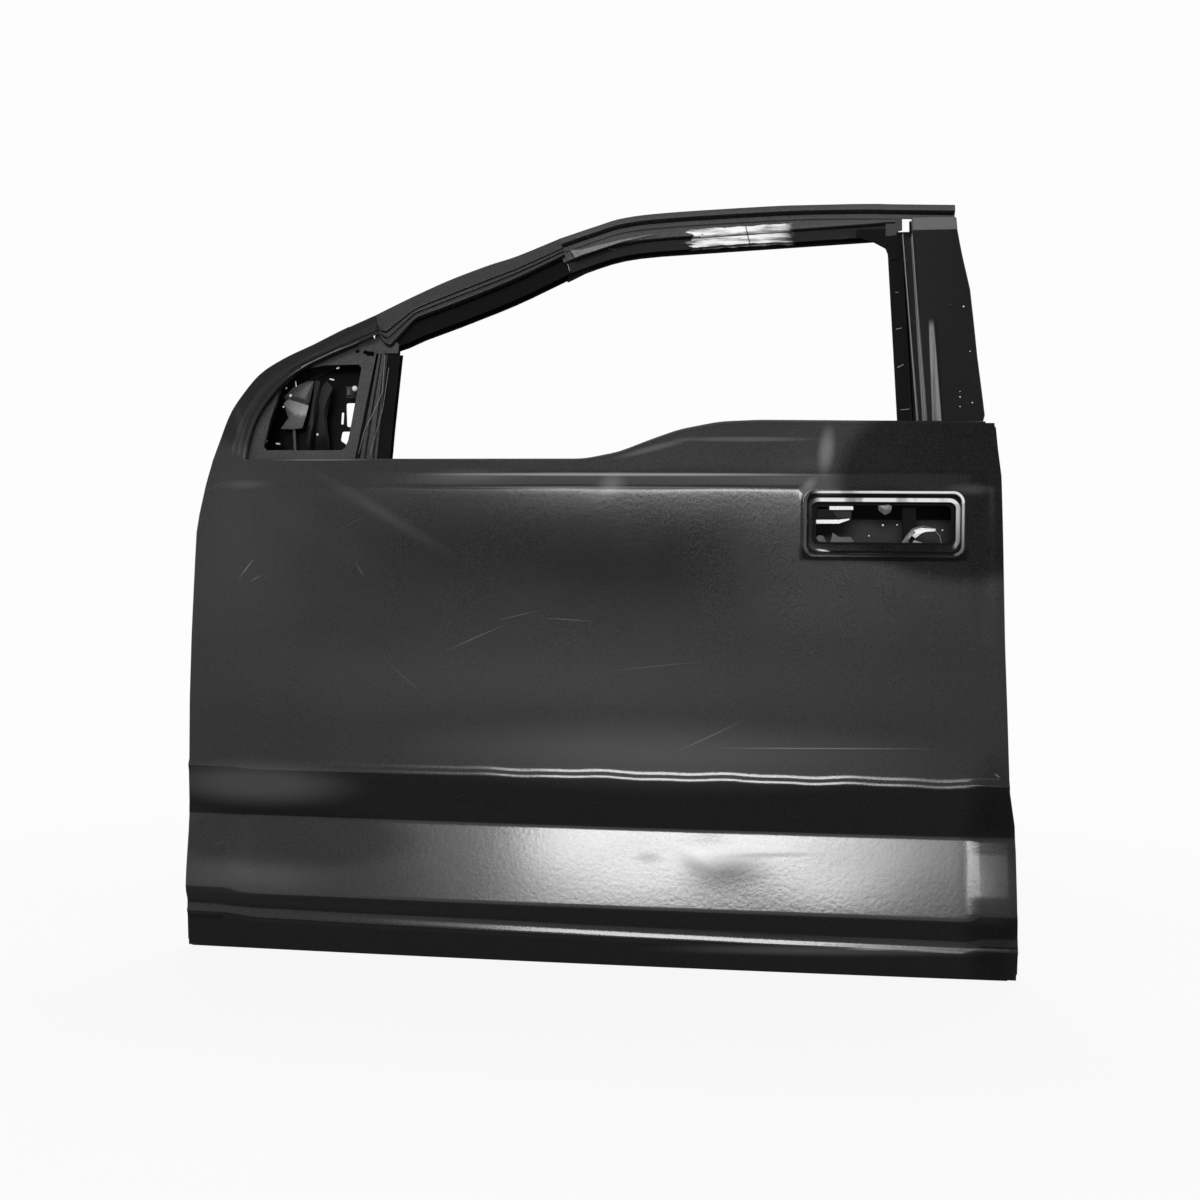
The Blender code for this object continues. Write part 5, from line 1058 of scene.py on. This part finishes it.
def build_pillar():
    """Plate and applique channel of the B-pillar."""
    table = [(frame_z(a), b) for a, b in PILLAR_REAR_SHARES]
    heights = [z for z, _ in table]
    fine = []
    for z0, z1 in zip(heights, heights[1:]):
        fine += spread(z0, z1, 0.008)
    fine.append(heights[-1])
    plate, channel = [], []
    fold = BELT_RADIUS
    for z in fine:
        one, two = pillar_line(RIDGE_ONE_SHARES, z), pillar_line(RIDGE_TWO_SHARES, z)
        rear = PANEL_LENGTH * interpolate(table, z)
        edge = two + FRAME_STEP
        left = PANEL_LENGTH * STRIP_LEFT_SHARE
        reach = 1 - frame_share(z) / STRIP_TOP_SHARE
        swell = STRIP_HEIGHT * min(max(reach, 0) * 4, 1)
        width = STRIP_WIDTH * (0.3 + 0.7 * max(reach, 0))
        line = [(edge, fold * 3.6), (edge, fold / 2), (edge + fold / 2, 0), (left, 0),
                (left + width * 0.25, -swell), (left + width * 0.75, -swell), (left + width, 0),
                (rear - fold, 0), (rear, fold), (rear, FRAME_DEPTH * 0.6)]
        plate.append([glass_point(x, z, depth) for x, depth in soften(line, 0.0016)])
        if heights[1] <= z <= 1.160:
            line = [(one, fold / 3), (one, fold * 3.6), (two, fold * 3.6), (two, fold / 3)]
            channel.append([glass_point(x, z, depth) for x, depth in soften(line, 0.0012)])
    strip_piece("pillar", plate, "pillar_coat", ("pillar_plate",))
    strip_piece("applique_channel", channel, "pillar_coat", ("pillar_channel",))


# CAD nodes that keep their form: material and slot of each
PLAIN_PIECES = {
    "inner_coat": ("coat_dark", (
        "inner_panel", "frame_leg_inner", "header_inner", "pillar_inner", "belt_reinforcement_outer",
        "belt_reinforcement_inner", "sail_rail", "hinge_reinforcement", "latch_reinforcement",
        "beam_bracket_front", "beam_bracket_rear", "intrusion_beam")),
    "channel_coat": ("coat_dark", (
        "leg_run_channel", "division_channel", "division_bracket", "rear_run_channel", "rear_run_bracket",
        "handle_bracket", "corner_gusset")),
    "bracket_coat": ("coat", ("mirror_post", "mirror_bracket")),
    "sail_coat": ("coat", ("sail_inner", "handle_shelf")),
    "run_coat": ("bare", ("header_run_channel",)),
    "raw_bracket": ("bare", ("handle_cradle",)),
    "zinc": ("zinc", (
        "hinge_plate_upper", "hinge_plate_lower", "check_strap_plate", "mirror_nut_1", "mirror_nut_2",
        "mirror_nut_3")),
    "mastic": ("mastic", ("beam_pad_1", "beam_pad_2", "beam_pad_3")),
}


def build_plain_pieces():
    for material, (slot, nodes) in PLAIN_PIECES.items():
        for node in nodes:
            refined_copy(node, material)


# ---------------------------------------------------------------- small pieces

VIEW_POINT = Vector((0.9402, -2.2803, 0.566))
# Depths at which the outlines of the pocket's and the mirror bay's pieces are given
BAY_NEAR = 0.037
SAIL_NEAR = 0.045


def further(x, z, near, far):
    """A place on the plane y = near, moved along the line of sight to y = far."""
    scale = (far - VIEW_POINT.y) / (near - VIEW_POINT.y)
    return Vector((VIEW_POINT.x + (x - VIEW_POINT.x) * scale, far, VIEW_POINT.z + (z - VIEW_POINT.z) * scale))


def plate(bm, points, sheet):
    """A flat piece with an outline of points, thickened away from the viewer."""
    front = [bm.verts.new(p) for p in points]
    rear = [bm.verts.new(p + Vector((0, sheet, 0))) for p in points]
    bm.faces.new(front)
    bm.faces.new(list(reversed(rear)))
    for k in range(len(points)):
        n = (k + 1) % len(points)
        bm.faces.new((front[k], rear[k], rear[n], front[n]))


def bowed_plate(bm, points, sheet, bow):
    """Like plate, with its middle pushed towards the viewer, as a crumpled form."""
    middle = sum(points, Vector()) / len(points) - Vector((0, bow, 0))
    ring_one = [p.lerp(middle, 0.45) - Vector((0, bow * 0.5 * (1 + 0.6 * math.sin(k * 2.3)), 0))
                for k, p in enumerate(points)]
    rows = [[p + Vector((0, sheet, 0)) for p in points], points, ring_one]
    add_strip(bm, rows, closed=True)
    verts = [bm.verts.new(p) for p in ring_one]
    centre = bm.verts.new(middle)
    for k in range(len(verts)):
        bm.faces.new((verts[k], verts[(k + 1) % len(verts)], centre))
    bm.faces.new([bm.verts.new(p + Vector((0, sheet, 0))) for p in reversed(points)])


# Pieces seen in the handle pocket: material, depth, thickness, bow, outline (X, Z at a depth of 0.037)
# The bright and light plates are painted highlights on a glossy black bracket
BAY_PIECES = (
    ("raw_bright", 0.024, 0.006, 0.0, ((0.9909, 0.7152), (1.0267, 0.7153), (1.0270, 0.7098),
        (0.9908, 0.7096))),
    ("raw_bright", 0.024, 0.006, 0.0, ((0.9560, 0.6940), (1.0053, 0.6945), (1.0213, 0.6962), (1.0213, 0.6943),
        (1.0054, 0.6885), (0.9560, 0.6880))),
    ("raw_dark", 0.033, 0.002, 0.0, ((0.9930, 0.7120), (1.0060, 0.6940), (1.0235, 0.6940), (1.0250, 0.7120))),
    ("raw_grey", 0.026, 0.002, 0.0010, ((0.9640, 0.6500), (0.9643, 0.6560), (0.9689, 0.6656),
        (0.9755, 0.6704), (0.9821, 0.6695), (0.9865, 0.6600), (0.9880, 0.6500))),
    ("raw_grey", 0.026, 0.002, 0.0010, ((0.9915, 0.6500), (0.9925, 0.6580), (0.9962, 0.6744),
        (1.0067, 0.6677), (1.0237, 0.6682), (1.0290, 0.6600), (1.0304, 0.6500))),
    ("raw_light", 0.026, 0.002, 0.0015, ((1.0650, 0.7220), (1.0650, 0.7110), (1.0670, 0.7075),
        (1.0756, 0.7020), (1.0830, 0.7060), (1.0850, 0.7110), (1.0850, 0.7220))),
    ("raw_light", 0.028, 0.002, 0.0030, ((1.1008, 0.6490), (1.1010, 0.6600), (1.1075, 0.6700),
        (1.1163, 0.6808), (1.1303, 0.6837), (1.1190, 0.6740), (1.1125, 0.6640), (1.1080, 0.6490))),
    ("raw_bright", 0.026, 0.003, 0.0020, ((1.1170, 0.6700), (1.1200, 0.6790), (1.1303, 0.6827),
        (1.1508, 0.6810), (1.1508, 0.6775), (1.1397, 0.6768), (1.1285, 0.6730), (1.1215, 0.6665))),
    ("raw_light", 0.027, 0.002, 0.0010, ((1.1200, 0.6640), (1.1352, 0.6591), (1.1353, 0.6560),
        (1.1231, 0.6600), (1.1130, 0.6490), (1.1100, 0.6490))),
)
# Small bright heads in the pocket: X, Z, radius
BAY_HEADS = (
    (1.0723, 0.6863, 0.0016), (1.0938, 0.6868, 0.0012), (1.0513, 0.6699, 0.0012), (1.1619, 0.6792, 0.0012),
    (1.1500, 0.6795, 0.0022), (1.0774, 0.6545, 0.0013),
)
# Pieces seen through the mirror bracket: material, depth, thickness, bow, outline (X, Z at a depth of 0.045)
SAIL_PIECES = (
    ("raw_grey", 0.100, 0.002, 0.003, ((0.1200, 0.8760), (0.1110, 0.8900), (0.1265, 0.9050), (0.1490, 0.9150),
        (0.1617, 0.9158), (0.1549, 0.8812), (0.1462, 0.8740))),
    ("raw_light", 0.098, 0.002, 0.003, ((0.1181, 0.8860), (0.1110, 0.8790), (0.1194, 0.8555),
        (0.1064, 0.8384), (0.1250, 0.8375), (0.1427, 0.8393), (0.1480, 0.8560), (0.1530, 0.8760),
        (0.1400, 0.8800), (0.1265, 0.8857))),
    ("raw_grey", 0.104, 0.002, 0.0, ((0.1268, 0.8400), (0.1308, 0.8400), (0.1342, 0.7880), (0.1300, 0.7880))),
    ("raw_dark", 0.096, 0.002, 0.004, ((0.1640, 0.9170), (0.1720, 0.9150), (0.1700, 0.8700), (0.1600, 0.8200),
        (0.1560, 0.7900), (0.1440, 0.7900), (0.1500, 0.8300), (0.1570, 0.8700))),
    ("raw_dark", 0.100, 0.002, 0.004, ((0.1832, 0.9157), (0.1930, 0.9040), (0.1830, 0.8560), (0.1900, 0.8000),
        (0.1660, 0.7950), (0.1647, 0.8704), (0.1680, 0.8984))),
    ("raw_grey", 0.101, 0.002, 0.004, ((0.2150, 0.9070), (0.2330, 0.9050), (0.2310, 0.8890),
        (0.2160, 0.8880))),
)
SAIL_HEADS = (
    (0.2300, 0.9030, 0.0046), (0.1150, 0.9045, 0.0018), (0.1167, 0.9140, 0.0016), (0.1225, 0.8922, 0.0026),
    (0.1107, 0.8739, 0.0018), (0.1685, 0.8286, 0.0022), (0.0832, 0.8182, 0.0016),
)
SAIL_SLOTS = (
    ((0.1305, 0.9150), (0.1318, 0.9065), 0.0012), ((0.1880, 0.9190), (0.1950, 0.9172), 0.0020),
    ((0.1990, 0.9358), (0.2036, 0.9368), 0.0014), ((0.0985, 0.8145), (0.1056, 0.8136), 0.0026),
    ((0.2400, 0.9445), (0.2445, 0.9420), 0.0012), ((0.2445, 0.9420), (0.2405, 0.9385), 0.0012),
)
# Painted highlights: light strips along the edges of the mirror post
POST_HIGHLIGHTS = (
    ((0.2650, 0.9600), (0.2662, 0.8978), 0.0011), ((0.2662, 0.8978), (0.2560, 0.8650), 0.0011),
    ((0.2560, 0.8650), (0.2430, 0.8337), 0.0011), ((0.2430, 0.8337), (0.2362, 0.7938), 0.0011),
    ((0.2735, 0.9400), (0.2700, 0.8700), 0.0007), ((0.2700, 0.8700), (0.2560, 0.7950), 0.0008),
)
# Dark port of the mirror bracket, a black sheet as painted shade: two holes that run together, their half sizes
# and a point of its plane
PORT_CENTRES = ((0.2366, 0.9680), (0.2430, 0.9678))
PORT_HALF_WIDTH = 0.0036
PORT_HALF_HEIGHT = 0.0042
PORT_DEPTH = 0.0960
PORT_HEIGHT = 0.967404
# Light marks on the run channel of the B-pillar
PILLAR_MARKS = (
    ((1.0825, 1.1182), (1.0956, 1.1190), 0.0013), ((1.0925, 1.0602), (1.0980, 1.0608), 0.0009),
    ((1.0929, 0.9979), (1.1017, 1.0003), 0.0012), ((1.0947, 0.9344), (1.1046, 0.9394), 0.0013),
    ((1.0800, 1.1560), (1.0803, 1.1460), 0.0010), ((1.0990, 0.8650), (1.1130, 0.8665), 0.0010),
)
PILLAR_HEADS = (
    (1.1978, 1.0300, 0.0016), (1.1768, 1.0339, 0.0010), (1.2059, 0.9553, 0.0013), (1.1894, 0.8904, 0.0012),
    (1.1892, 0.8813, 0.0015), (1.1889, 0.8659, 0.0013), (1.2075, 0.8720, 0.0014),
)
# Fillers and scraps of the window frame: material, depth in the frame, outline in X and Z
FRAME_FILLERS = (
    ("bracket_coat", 0.0062, ((0.2440, 0.9650), (0.2860, 0.9650), (0.2865, 0.9800), (0.2720, 0.9960),
        (0.2560, 1.0180), (0.2440, 1.0200))),
    ("frame_coat", 0.0075, ((1.0780, 1.1570), (1.0945, 1.1585), (1.0960, 1.1645), (1.1045, 1.1665),
        (1.1045, 1.1885), (1.0780, 1.1900))),
    ("sail_coat", 0.0125, ((1.0830, 1.1290), (1.1180, 1.1290), (1.1180, 1.1665), (1.0830, 1.1665))),
    ("sail_coat", 0.0125, ((1.1160, 1.1560), (1.1240, 1.1560), (1.1240, 1.1850), (1.1160, 1.1850))),
    ("channel_coat", 0.0165, ((0.5600, 1.0900), (0.5700, 1.0950), (0.5850, 1.1030), (0.6000, 1.1100),
        (0.6000, 1.1200), (0.5600, 1.1100))),
    ("raw_light", -0.0008, ((0.5640, 1.1390), (0.5805, 1.1385), (0.6445, 1.1545), (0.7080, 1.1660),
        (0.6445, 1.1500), (0.5850, 1.1300), (0.5730, 1.1250))),
)


def stroke(start, end, width):
    """Outline of a short bar between two points."""
    a, b = Vector(start), Vector(end)
    side = Vector((a.y - b.y, b.x - a.x)).normalized() * width / 2
    return [a - side, b - side, b + side, a + side]


def heads_group():
    """Geometry Nodes: a small round head on every point, scaled by the point's radius."""
    tree = bpy.data.node_groups.new("door_heads", "GeometryNodeTree")
    tree.interface.new_socket("Geometry", in_out="INPUT", socket_type="NodeSocketGeometry")
    tree.interface.new_socket("Depth", in_out="INPUT", socket_type="NodeSocketFloat").default_value = 0.6
    tree.interface.new_socket("Finish", in_out="INPUT", socket_type="NodeSocketMaterial")
    tree.interface.new_socket("Geometry", in_out="OUTPUT", socket_type="NodeSocketGeometry")
    given, made = tree.nodes.new("NodeGroupInput").outputs, tree.nodes.new("NodeGroupOutput").inputs
    ball = put(tree, "GeometryNodeMeshUVSphere", {"Segments": 14, "Rings": 8, "Radius": 1.0}).outputs[0]
    flat = put(tree, "ShaderNodeCombineXYZ", {0: 1.0, 1: given["Depth"], 2: 1.0}).outputs[0]
    ball = put(tree, "GeometryNodeTransform", {"Geometry": ball, "Scale": flat}).outputs[0]
    size = put(tree, "GeometryNodeInputNamedAttribute", {"Name": "radius"}, data_type="FLOAT").outputs[0]
    placed = put(tree, "GeometryNodeInstanceOnPoints",
                 {"Points": given["Geometry"], "Instance": ball, "Scale": size}).outputs[0]
    real = put(tree, "GeometryNodeRealizeInstances", {"Geometry": placed}).outputs[0]
    done = put(tree, "GeometryNodeSetMaterial", {"Geometry": real, "Material": given["Finish"]}).outputs[0]
    tree.links.new(done, made["Geometry"])
    return tree


def heads(name, points, material="raw_bright"):
    """Round heads at (place, radius) pairs in door coordinates."""
    mesh = bpy.data.meshes.new(name)
    mesh.from_pydata([tuple(p - DATUM) for p, _ in points], [], [])
    sizes = mesh.attributes.new("radius", "FLOAT", "POINT")
    for k, (_, radius) in enumerate(points):
        sizes.data[k].value = radius
    obj = add_object(name, mesh)
    tree = bpy.data.node_groups.get("door_heads") or heads_group()
    nodes = obj.modifiers.new("heads", "NODES")
    nodes.node_group = tree
    sockets = {item.name: item.identifier for item in tree.interface.items_tree if item.in_out == "INPUT"}
    nodes[sockets["Depth"]] = bpy.context.scene.door_settings.head_depth
    nodes[sockets["Finish"]] = bpy.data.materials[material]
    bake(obj)
    dress(obj, material, 60)
    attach(obj, "root")


def flat_pieces(name, material, outlines):
    """One object from (points, thickness, bow) outlines."""
    bm = bmesh.new()
    for points, sheet, bow in outlines:
        if bow:
            bowed_plate(bm, points, sheet, bow)
        else:
            plate(bm, points, sheet)
    sharp = math.degrees(bpy.context.scene.door_settings.sharp_angle)
    return finish_piece(name, bm, material, (), 0.0, sharp)


def strokes(name, material, rows, place, sheet):
    """One object from short bars, put in place by a function of X and Z."""
    flat_pieces(name, material, [([place(p.x, p.y) for p in stroke(*row)], sheet, 0) for row in rows])


def build_details():
    """Brackets, tabs and heads seen in the pocket and the mirror bay, marks and fillers of the frame."""
    for group, rows, near in (("bay", BAY_PIECES, BAY_NEAR), ("sail", SAIL_PIECES, SAIL_NEAR)):
        for material in sorted({row[0] for row in rows}):
            flat_pieces(f"{group}_{material}", material,
                        [([further(x, z, near, depth) for x, z in outline], sheet, bow)
                         for look, depth, sheet, bow, outline in rows if look == material])
    strokes("sail_slots", "raw_bright", SAIL_SLOTS, lambda x, z: further(x, z, SAIL_NEAR, 0.094), 0.002)
    for name, rows, place in (("bay_heads", BAY_HEADS, lambda x, z: further(x, z, BAY_NEAR, 0.030)),
                              ("sail_heads", SAIL_HEADS, lambda x, z: further(x, z, SAIL_NEAR, 0.092)),
                              ("pillar_heads", PILLAR_HEADS, lambda x, z: glass_point(x, z, 0.0))):
        heads(name, [(place(x, z), radius) for x, z, radius in rows])
    front = GLASS_DEPTH - RUN_HALF_WIDTH
    strokes("pillar_marks", "raw_light", PILLAR_MARKS, lambda x, z: glass_point(x, z, front - 0.0011), 0.0008)
    strokes("post_highlights", "raw_light", POST_HIGHLIGHTS, lambda x, z: glass_point(x, z, front - 0.0058), 0.0008)
    turns = [k * math.pi / 6 for k in range(12)]
    # A black sheet deep behind the port, as painted shade
    flat_pieces("bracket_port", "black", [
        ([Vector((x + PORT_HALF_WIDTH * math.cos(a), PORT_DEPTH + (z - PORT_HEIGHT) * ARM_LEAN_SHARE,
                  z + PORT_HALF_HEIGHT * math.sin(a))) for a in turns], 0.0004, 0) for x, z in PORT_CENTRES])
    for number, (material, depth, outline) in enumerate(FRAME_FILLERS, 1):
        flat_pieces(f"frame_filler_{number}", material,
                    [([glass_point(x, z, depth) for x, z in outline], 0.0012, 0)])


# ---------------------------------------------------------------- stage

FLOOR_SIZE = 40
FLOOR_COLOUR = (0.90, 0.90, 0.90, 1.0)
# The floor turns into the white background from near to far: distances and shares
FADE_DISTANCES = (0.8, 2.4)
FADE_SHARES = (0.91, 1.0)
BACKGROUND_LEVEL = 0.98
SKY_LEVEL = 0.30
# Lamps in front: left and right edge, radiance; their common depth, height and size upwards
FRONT_LAMPS = {
    "front_left": (-1.95, -1.02, 2.2), "front_main": (-1.01, 1.60, 27.0), "front_right": (1.61, 2.05, 14.0),
    "front_wide": (2.06, 2.60, 6.0), "front_edge": (2.61, 3.30, 2.2),
}
FRONT_LAMP_DEPTH = -8.0
FRONT_LAMP_HEIGHT = 2.20
FRONT_LAMP_SIZE = 1.18
# Other lamps: place, size, radiance
OTHER_LAMPS = {
    "overhead": ((0.6, -3.0, 4.2), (3.0, 2.0), 1.6), "left_fill": ((-4.0, -2.5, 1.6), (1.6, 2.4), 1.2),
    "right_fill": ((5.2, -2.5, 1.6), (1.6, 2.4), 1.2), "rear_top": ((0.6, 2.2, 4.2), (3.4, 1.2), 7.0),
}
LAMP_AIM = Vector((0.64, 0.0, 0.5))
CAMERA_TARGET = Vector((0.640, 0, 0.566))
CAMERA_TURN = math.radians(7.5)
CAMERA_ROLL = math.radians(0.7)
CAMERA_DISTANCE = 2.3
CAMERA_LENS = 44.5


def white_rays(tree):
    """One for the rays of the camera and of reflections, which see the plain background."""
    path = put(tree, "ShaderNodeLightPath").outputs
    total = calc(tree, "ADD", path["Is Camera Ray"], path["Is Glossy Ray"])
    return calc(tree, "ADD", total, path["Is Transmission Ray"], clamp=True)


def area_lamp(name, place, size, radiance):
    data = bpy.data.lights.new(name, "AREA")
    data.shape = "RECTANGLE"
    data.size, data.size_y = size
    data.energy = radiance * bpy.context.scene.door_settings.lamp_level * size[0] * size[1] * math.pi
    lamp = add_object(name, data)
    lamp.location = Vector(place) - DATUM
    lamp.rotation_euler = (LAMP_AIM - Vector(place)).to_track_quat("-Z", "Z").to_euler()
    lamp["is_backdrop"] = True


def build_floor():
    """Pale floor that keeps the shadow near the door."""
    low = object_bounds()[0][2]
    bm = bmesh.new()
    bmesh.ops.create_grid(bm, x_segments=1, y_segments=1, size=FLOOR_SIZE)
    floor = add_object("floor", take_mesh(bm, "floor"))
    floor.location = (0, 0, low)
    material, tree, sockets = new_material("floor")
    sockets["Base Color"].default_value = FLOOR_COLOUR
    sockets["Roughness"].default_value = 0.9
    sockets["Specular IOR Level"].default_value = 0.0
    far = vector(tree, "LENGTH", vector(tree, "SUBTRACT", spot(tree)[0], (0.6, 0.0, 0.0)))
    fade = times(tree, span(tree, far, *FADE_DISTANCES, *FADE_SHARES), white_rays(tree))
    glow = put(tree, "ShaderNodeEmission", {"Color": (1.0, 1.0, 1.0, 1.0), "Strength": BACKGROUND_LEVEL})
    plain = tree.nodes["Principled BSDF"].outputs[0]
    mix = put(tree, "ShaderNodeMixShader", {0: fade, 1: plain, 2: glow.outputs[0]})
    tree.links.new(mix.outputs[0], tree.nodes["Material Output"].inputs["Surface"])
    floor.data.materials.append(material)
    floor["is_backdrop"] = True


def build_camera():
    """Camera of the photo."""
    look = Vector((math.sin(CAMERA_TURN), -math.cos(CAMERA_TURN), 0))
    data = bpy.data.cameras.new("camera")
    data.lens = CAMERA_LENS
    data.sensor_width = 36
    camera = add_object("camera", data)
    turn = (-look).to_track_quat("-Z", "Y").to_matrix() @ Matrix.Rotation(CAMERA_ROLL, 3, "Z")
    camera.matrix_world = Matrix.Translation(CAMERA_TARGET - DATUM + look * CAMERA_DISTANCE) @ turn.to_4x4()
    bpy.context.scene.camera = camera
    camera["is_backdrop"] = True


def build_stage():
    build_floor()
    world = bpy.data.worlds.new("studio")
    bpy.context.scene.world = world
    world.use_nodes = True
    background = world.node_tree.nodes["Background"].inputs
    background["Color"].default_value = (1.0, 1.0, 1.0, 1.0)
    level = span(world.node_tree, white_rays(world.node_tree), 0.0, 1.0, SKY_LEVEL, BACKGROUND_LEVEL)
    wire(world.node_tree, level, background["Strength"])
    for name, (left, right, radiance) in FRONT_LAMPS.items():
        area_lamp(name, ((left + right) / 2, FRONT_LAMP_DEPTH, FRONT_LAMP_HEIGHT),
                  (right - left, FRONT_LAMP_SIZE), radiance)
    for name, row in OTHER_LAMPS.items():
        area_lamp(name, *row)
    build_camera()
    bpy.context.scene.view_settings.view_transform = "Standard"


# ---------------------------------------------------------------- add-on

class DoorSettings(bpy.types.PropertyGroup):
    """Sizes and colours that the operators use."""
    paint: bpy.props.FloatVectorProperty(
        name="Paint", description="Colour of the clean electro-coat on the skin",
        subtype="COLOR", size=3, min=0, max=1, default=(0.0030, 0.0030, 0.0032))
    # The haze also carries the skin's patches of painted reflection
    haze: bpy.props.FloatVectorProperty(
        name="Haze", description="Colour of the skin where dust lies on it",
        subtype="COLOR", size=3, min=0, max=1, default=(0.0150, 0.0150, 0.0155))
    gloss: bpy.props.FloatProperty(
        name="Roughness", description="Roughness of the skin's coat", default=0.115, min=0.02, max=1)
    head_depth: bpy.props.FloatProperty(
        name="Head depth", description="Depth of a small head as a share of its radius",
        default=0.6, min=0.1, max=1)
    sharp_angle: bpy.props.FloatProperty(
        name="Sharp angle", description="Edges of the small plates steeper than this stay sharp",
        default=math.radians(25), subtype="ANGLE")
    lamp_level: bpy.props.FloatProperty(
        name="Lamps", description="Level of the studio lamps", default=1.0, min=0, max=4)


class DOOR_OT_finishes(bpy.types.Operator):
    """Make the coatings and metals of the door"""
    bl_idname = "door.finishes"
    bl_label = "Finishes"

    def execute(self, context):
        build_finishes()
        return {"FINISHED"}


class DOOR_OT_skin(bpy.types.Operator):
    """Make the outer panel"""
    bl_idname = "door.skin"
    bl_label = "Outer panel"

    def execute(self, context):
        build_skin()
        return {"FINISHED"}


class DOOR_OT_frame(bpy.types.Operator):
    """Make the window frame"""
    bl_idname = "door.frame"
    bl_label = "Window frame"

    def execute(self, context):
        build_frame()
        return {"FINISHED"}


class DOOR_OT_pillar(bpy.types.Operator):
    """Make the B-pillar plate and channel"""
    bl_idname = "door.pillar"
    bl_label = "B-pillar"

    def execute(self, context):
        build_pillar()
        return {"FINISHED"}


class DOOR_OT_plain(bpy.types.Operator):
    """Refine and paint the other pieces"""
    bl_idname = "door.plain"
    bl_label = "Other pieces"

    def execute(self, context):
        build_plain_pieces()
        return {"FINISHED"}


class DOOR_OT_details(bpy.types.Operator):
    """Make the small brackets, heads, marks and fillers"""
    bl_idname = "door.details"
    bl_label = "Small pieces"

    def execute(self, context):
        build_details()
        return {"FINISHED"}


class DOOR_OT_stage(bpy.types.Operator):
    """Make the floor, the lamps, the world and the camera"""
    bl_idname = "door.stage"
    bl_label = "Stage"

    def execute(self, context):
        build_stage()
        return {"FINISHED"}


class DOOR_PT_panel(bpy.types.Panel):
    """Buttons for the pieces of the door"""
    bl_idname = "DOOR_PT_panel"
    bl_label = "Car door shell"
    bl_space_type = "VIEW_3D"
    bl_region_type = "UI"
    bl_category = "Door"

    def draw(self, context):
        for name in ("paint", "haze", "gloss", "head_depth", "sharp_angle", "lamp_level"):
            self.layout.prop(context.scene.door_settings, name)
        for operator in STEPS:
            self.layout.operator(operator.bl_idname)


STEPS = (DOOR_OT_finishes, DOOR_OT_skin, DOOR_OT_frame, DOOR_OT_pillar, DOOR_OT_plain, DOOR_OT_details,
         DOOR_OT_stage)
CLASSES = (DoorSettings, *STEPS, DOOR_PT_panel)


def register():
    for item in CLASSES:
        bpy.utils.register_class(item)
    bpy.types.Scene.door_settings = bpy.props.PointerProperty(type=DoorSettings)


def unregister():
    del bpy.types.Scene.door_settings
    for item in reversed(CLASSES):
        bpy.utils.unregister_class(item)


def main():
    register()
    bpy.ops.door.finishes()
    bpy.ops.door.skin()
    bpy.ops.door.frame()
    bpy.ops.door.pillar()
    bpy.ops.door.plain()
    bpy.ops.door.details()
    bpy.ops.door.stage()


if __name__ == "__main__":
    main()
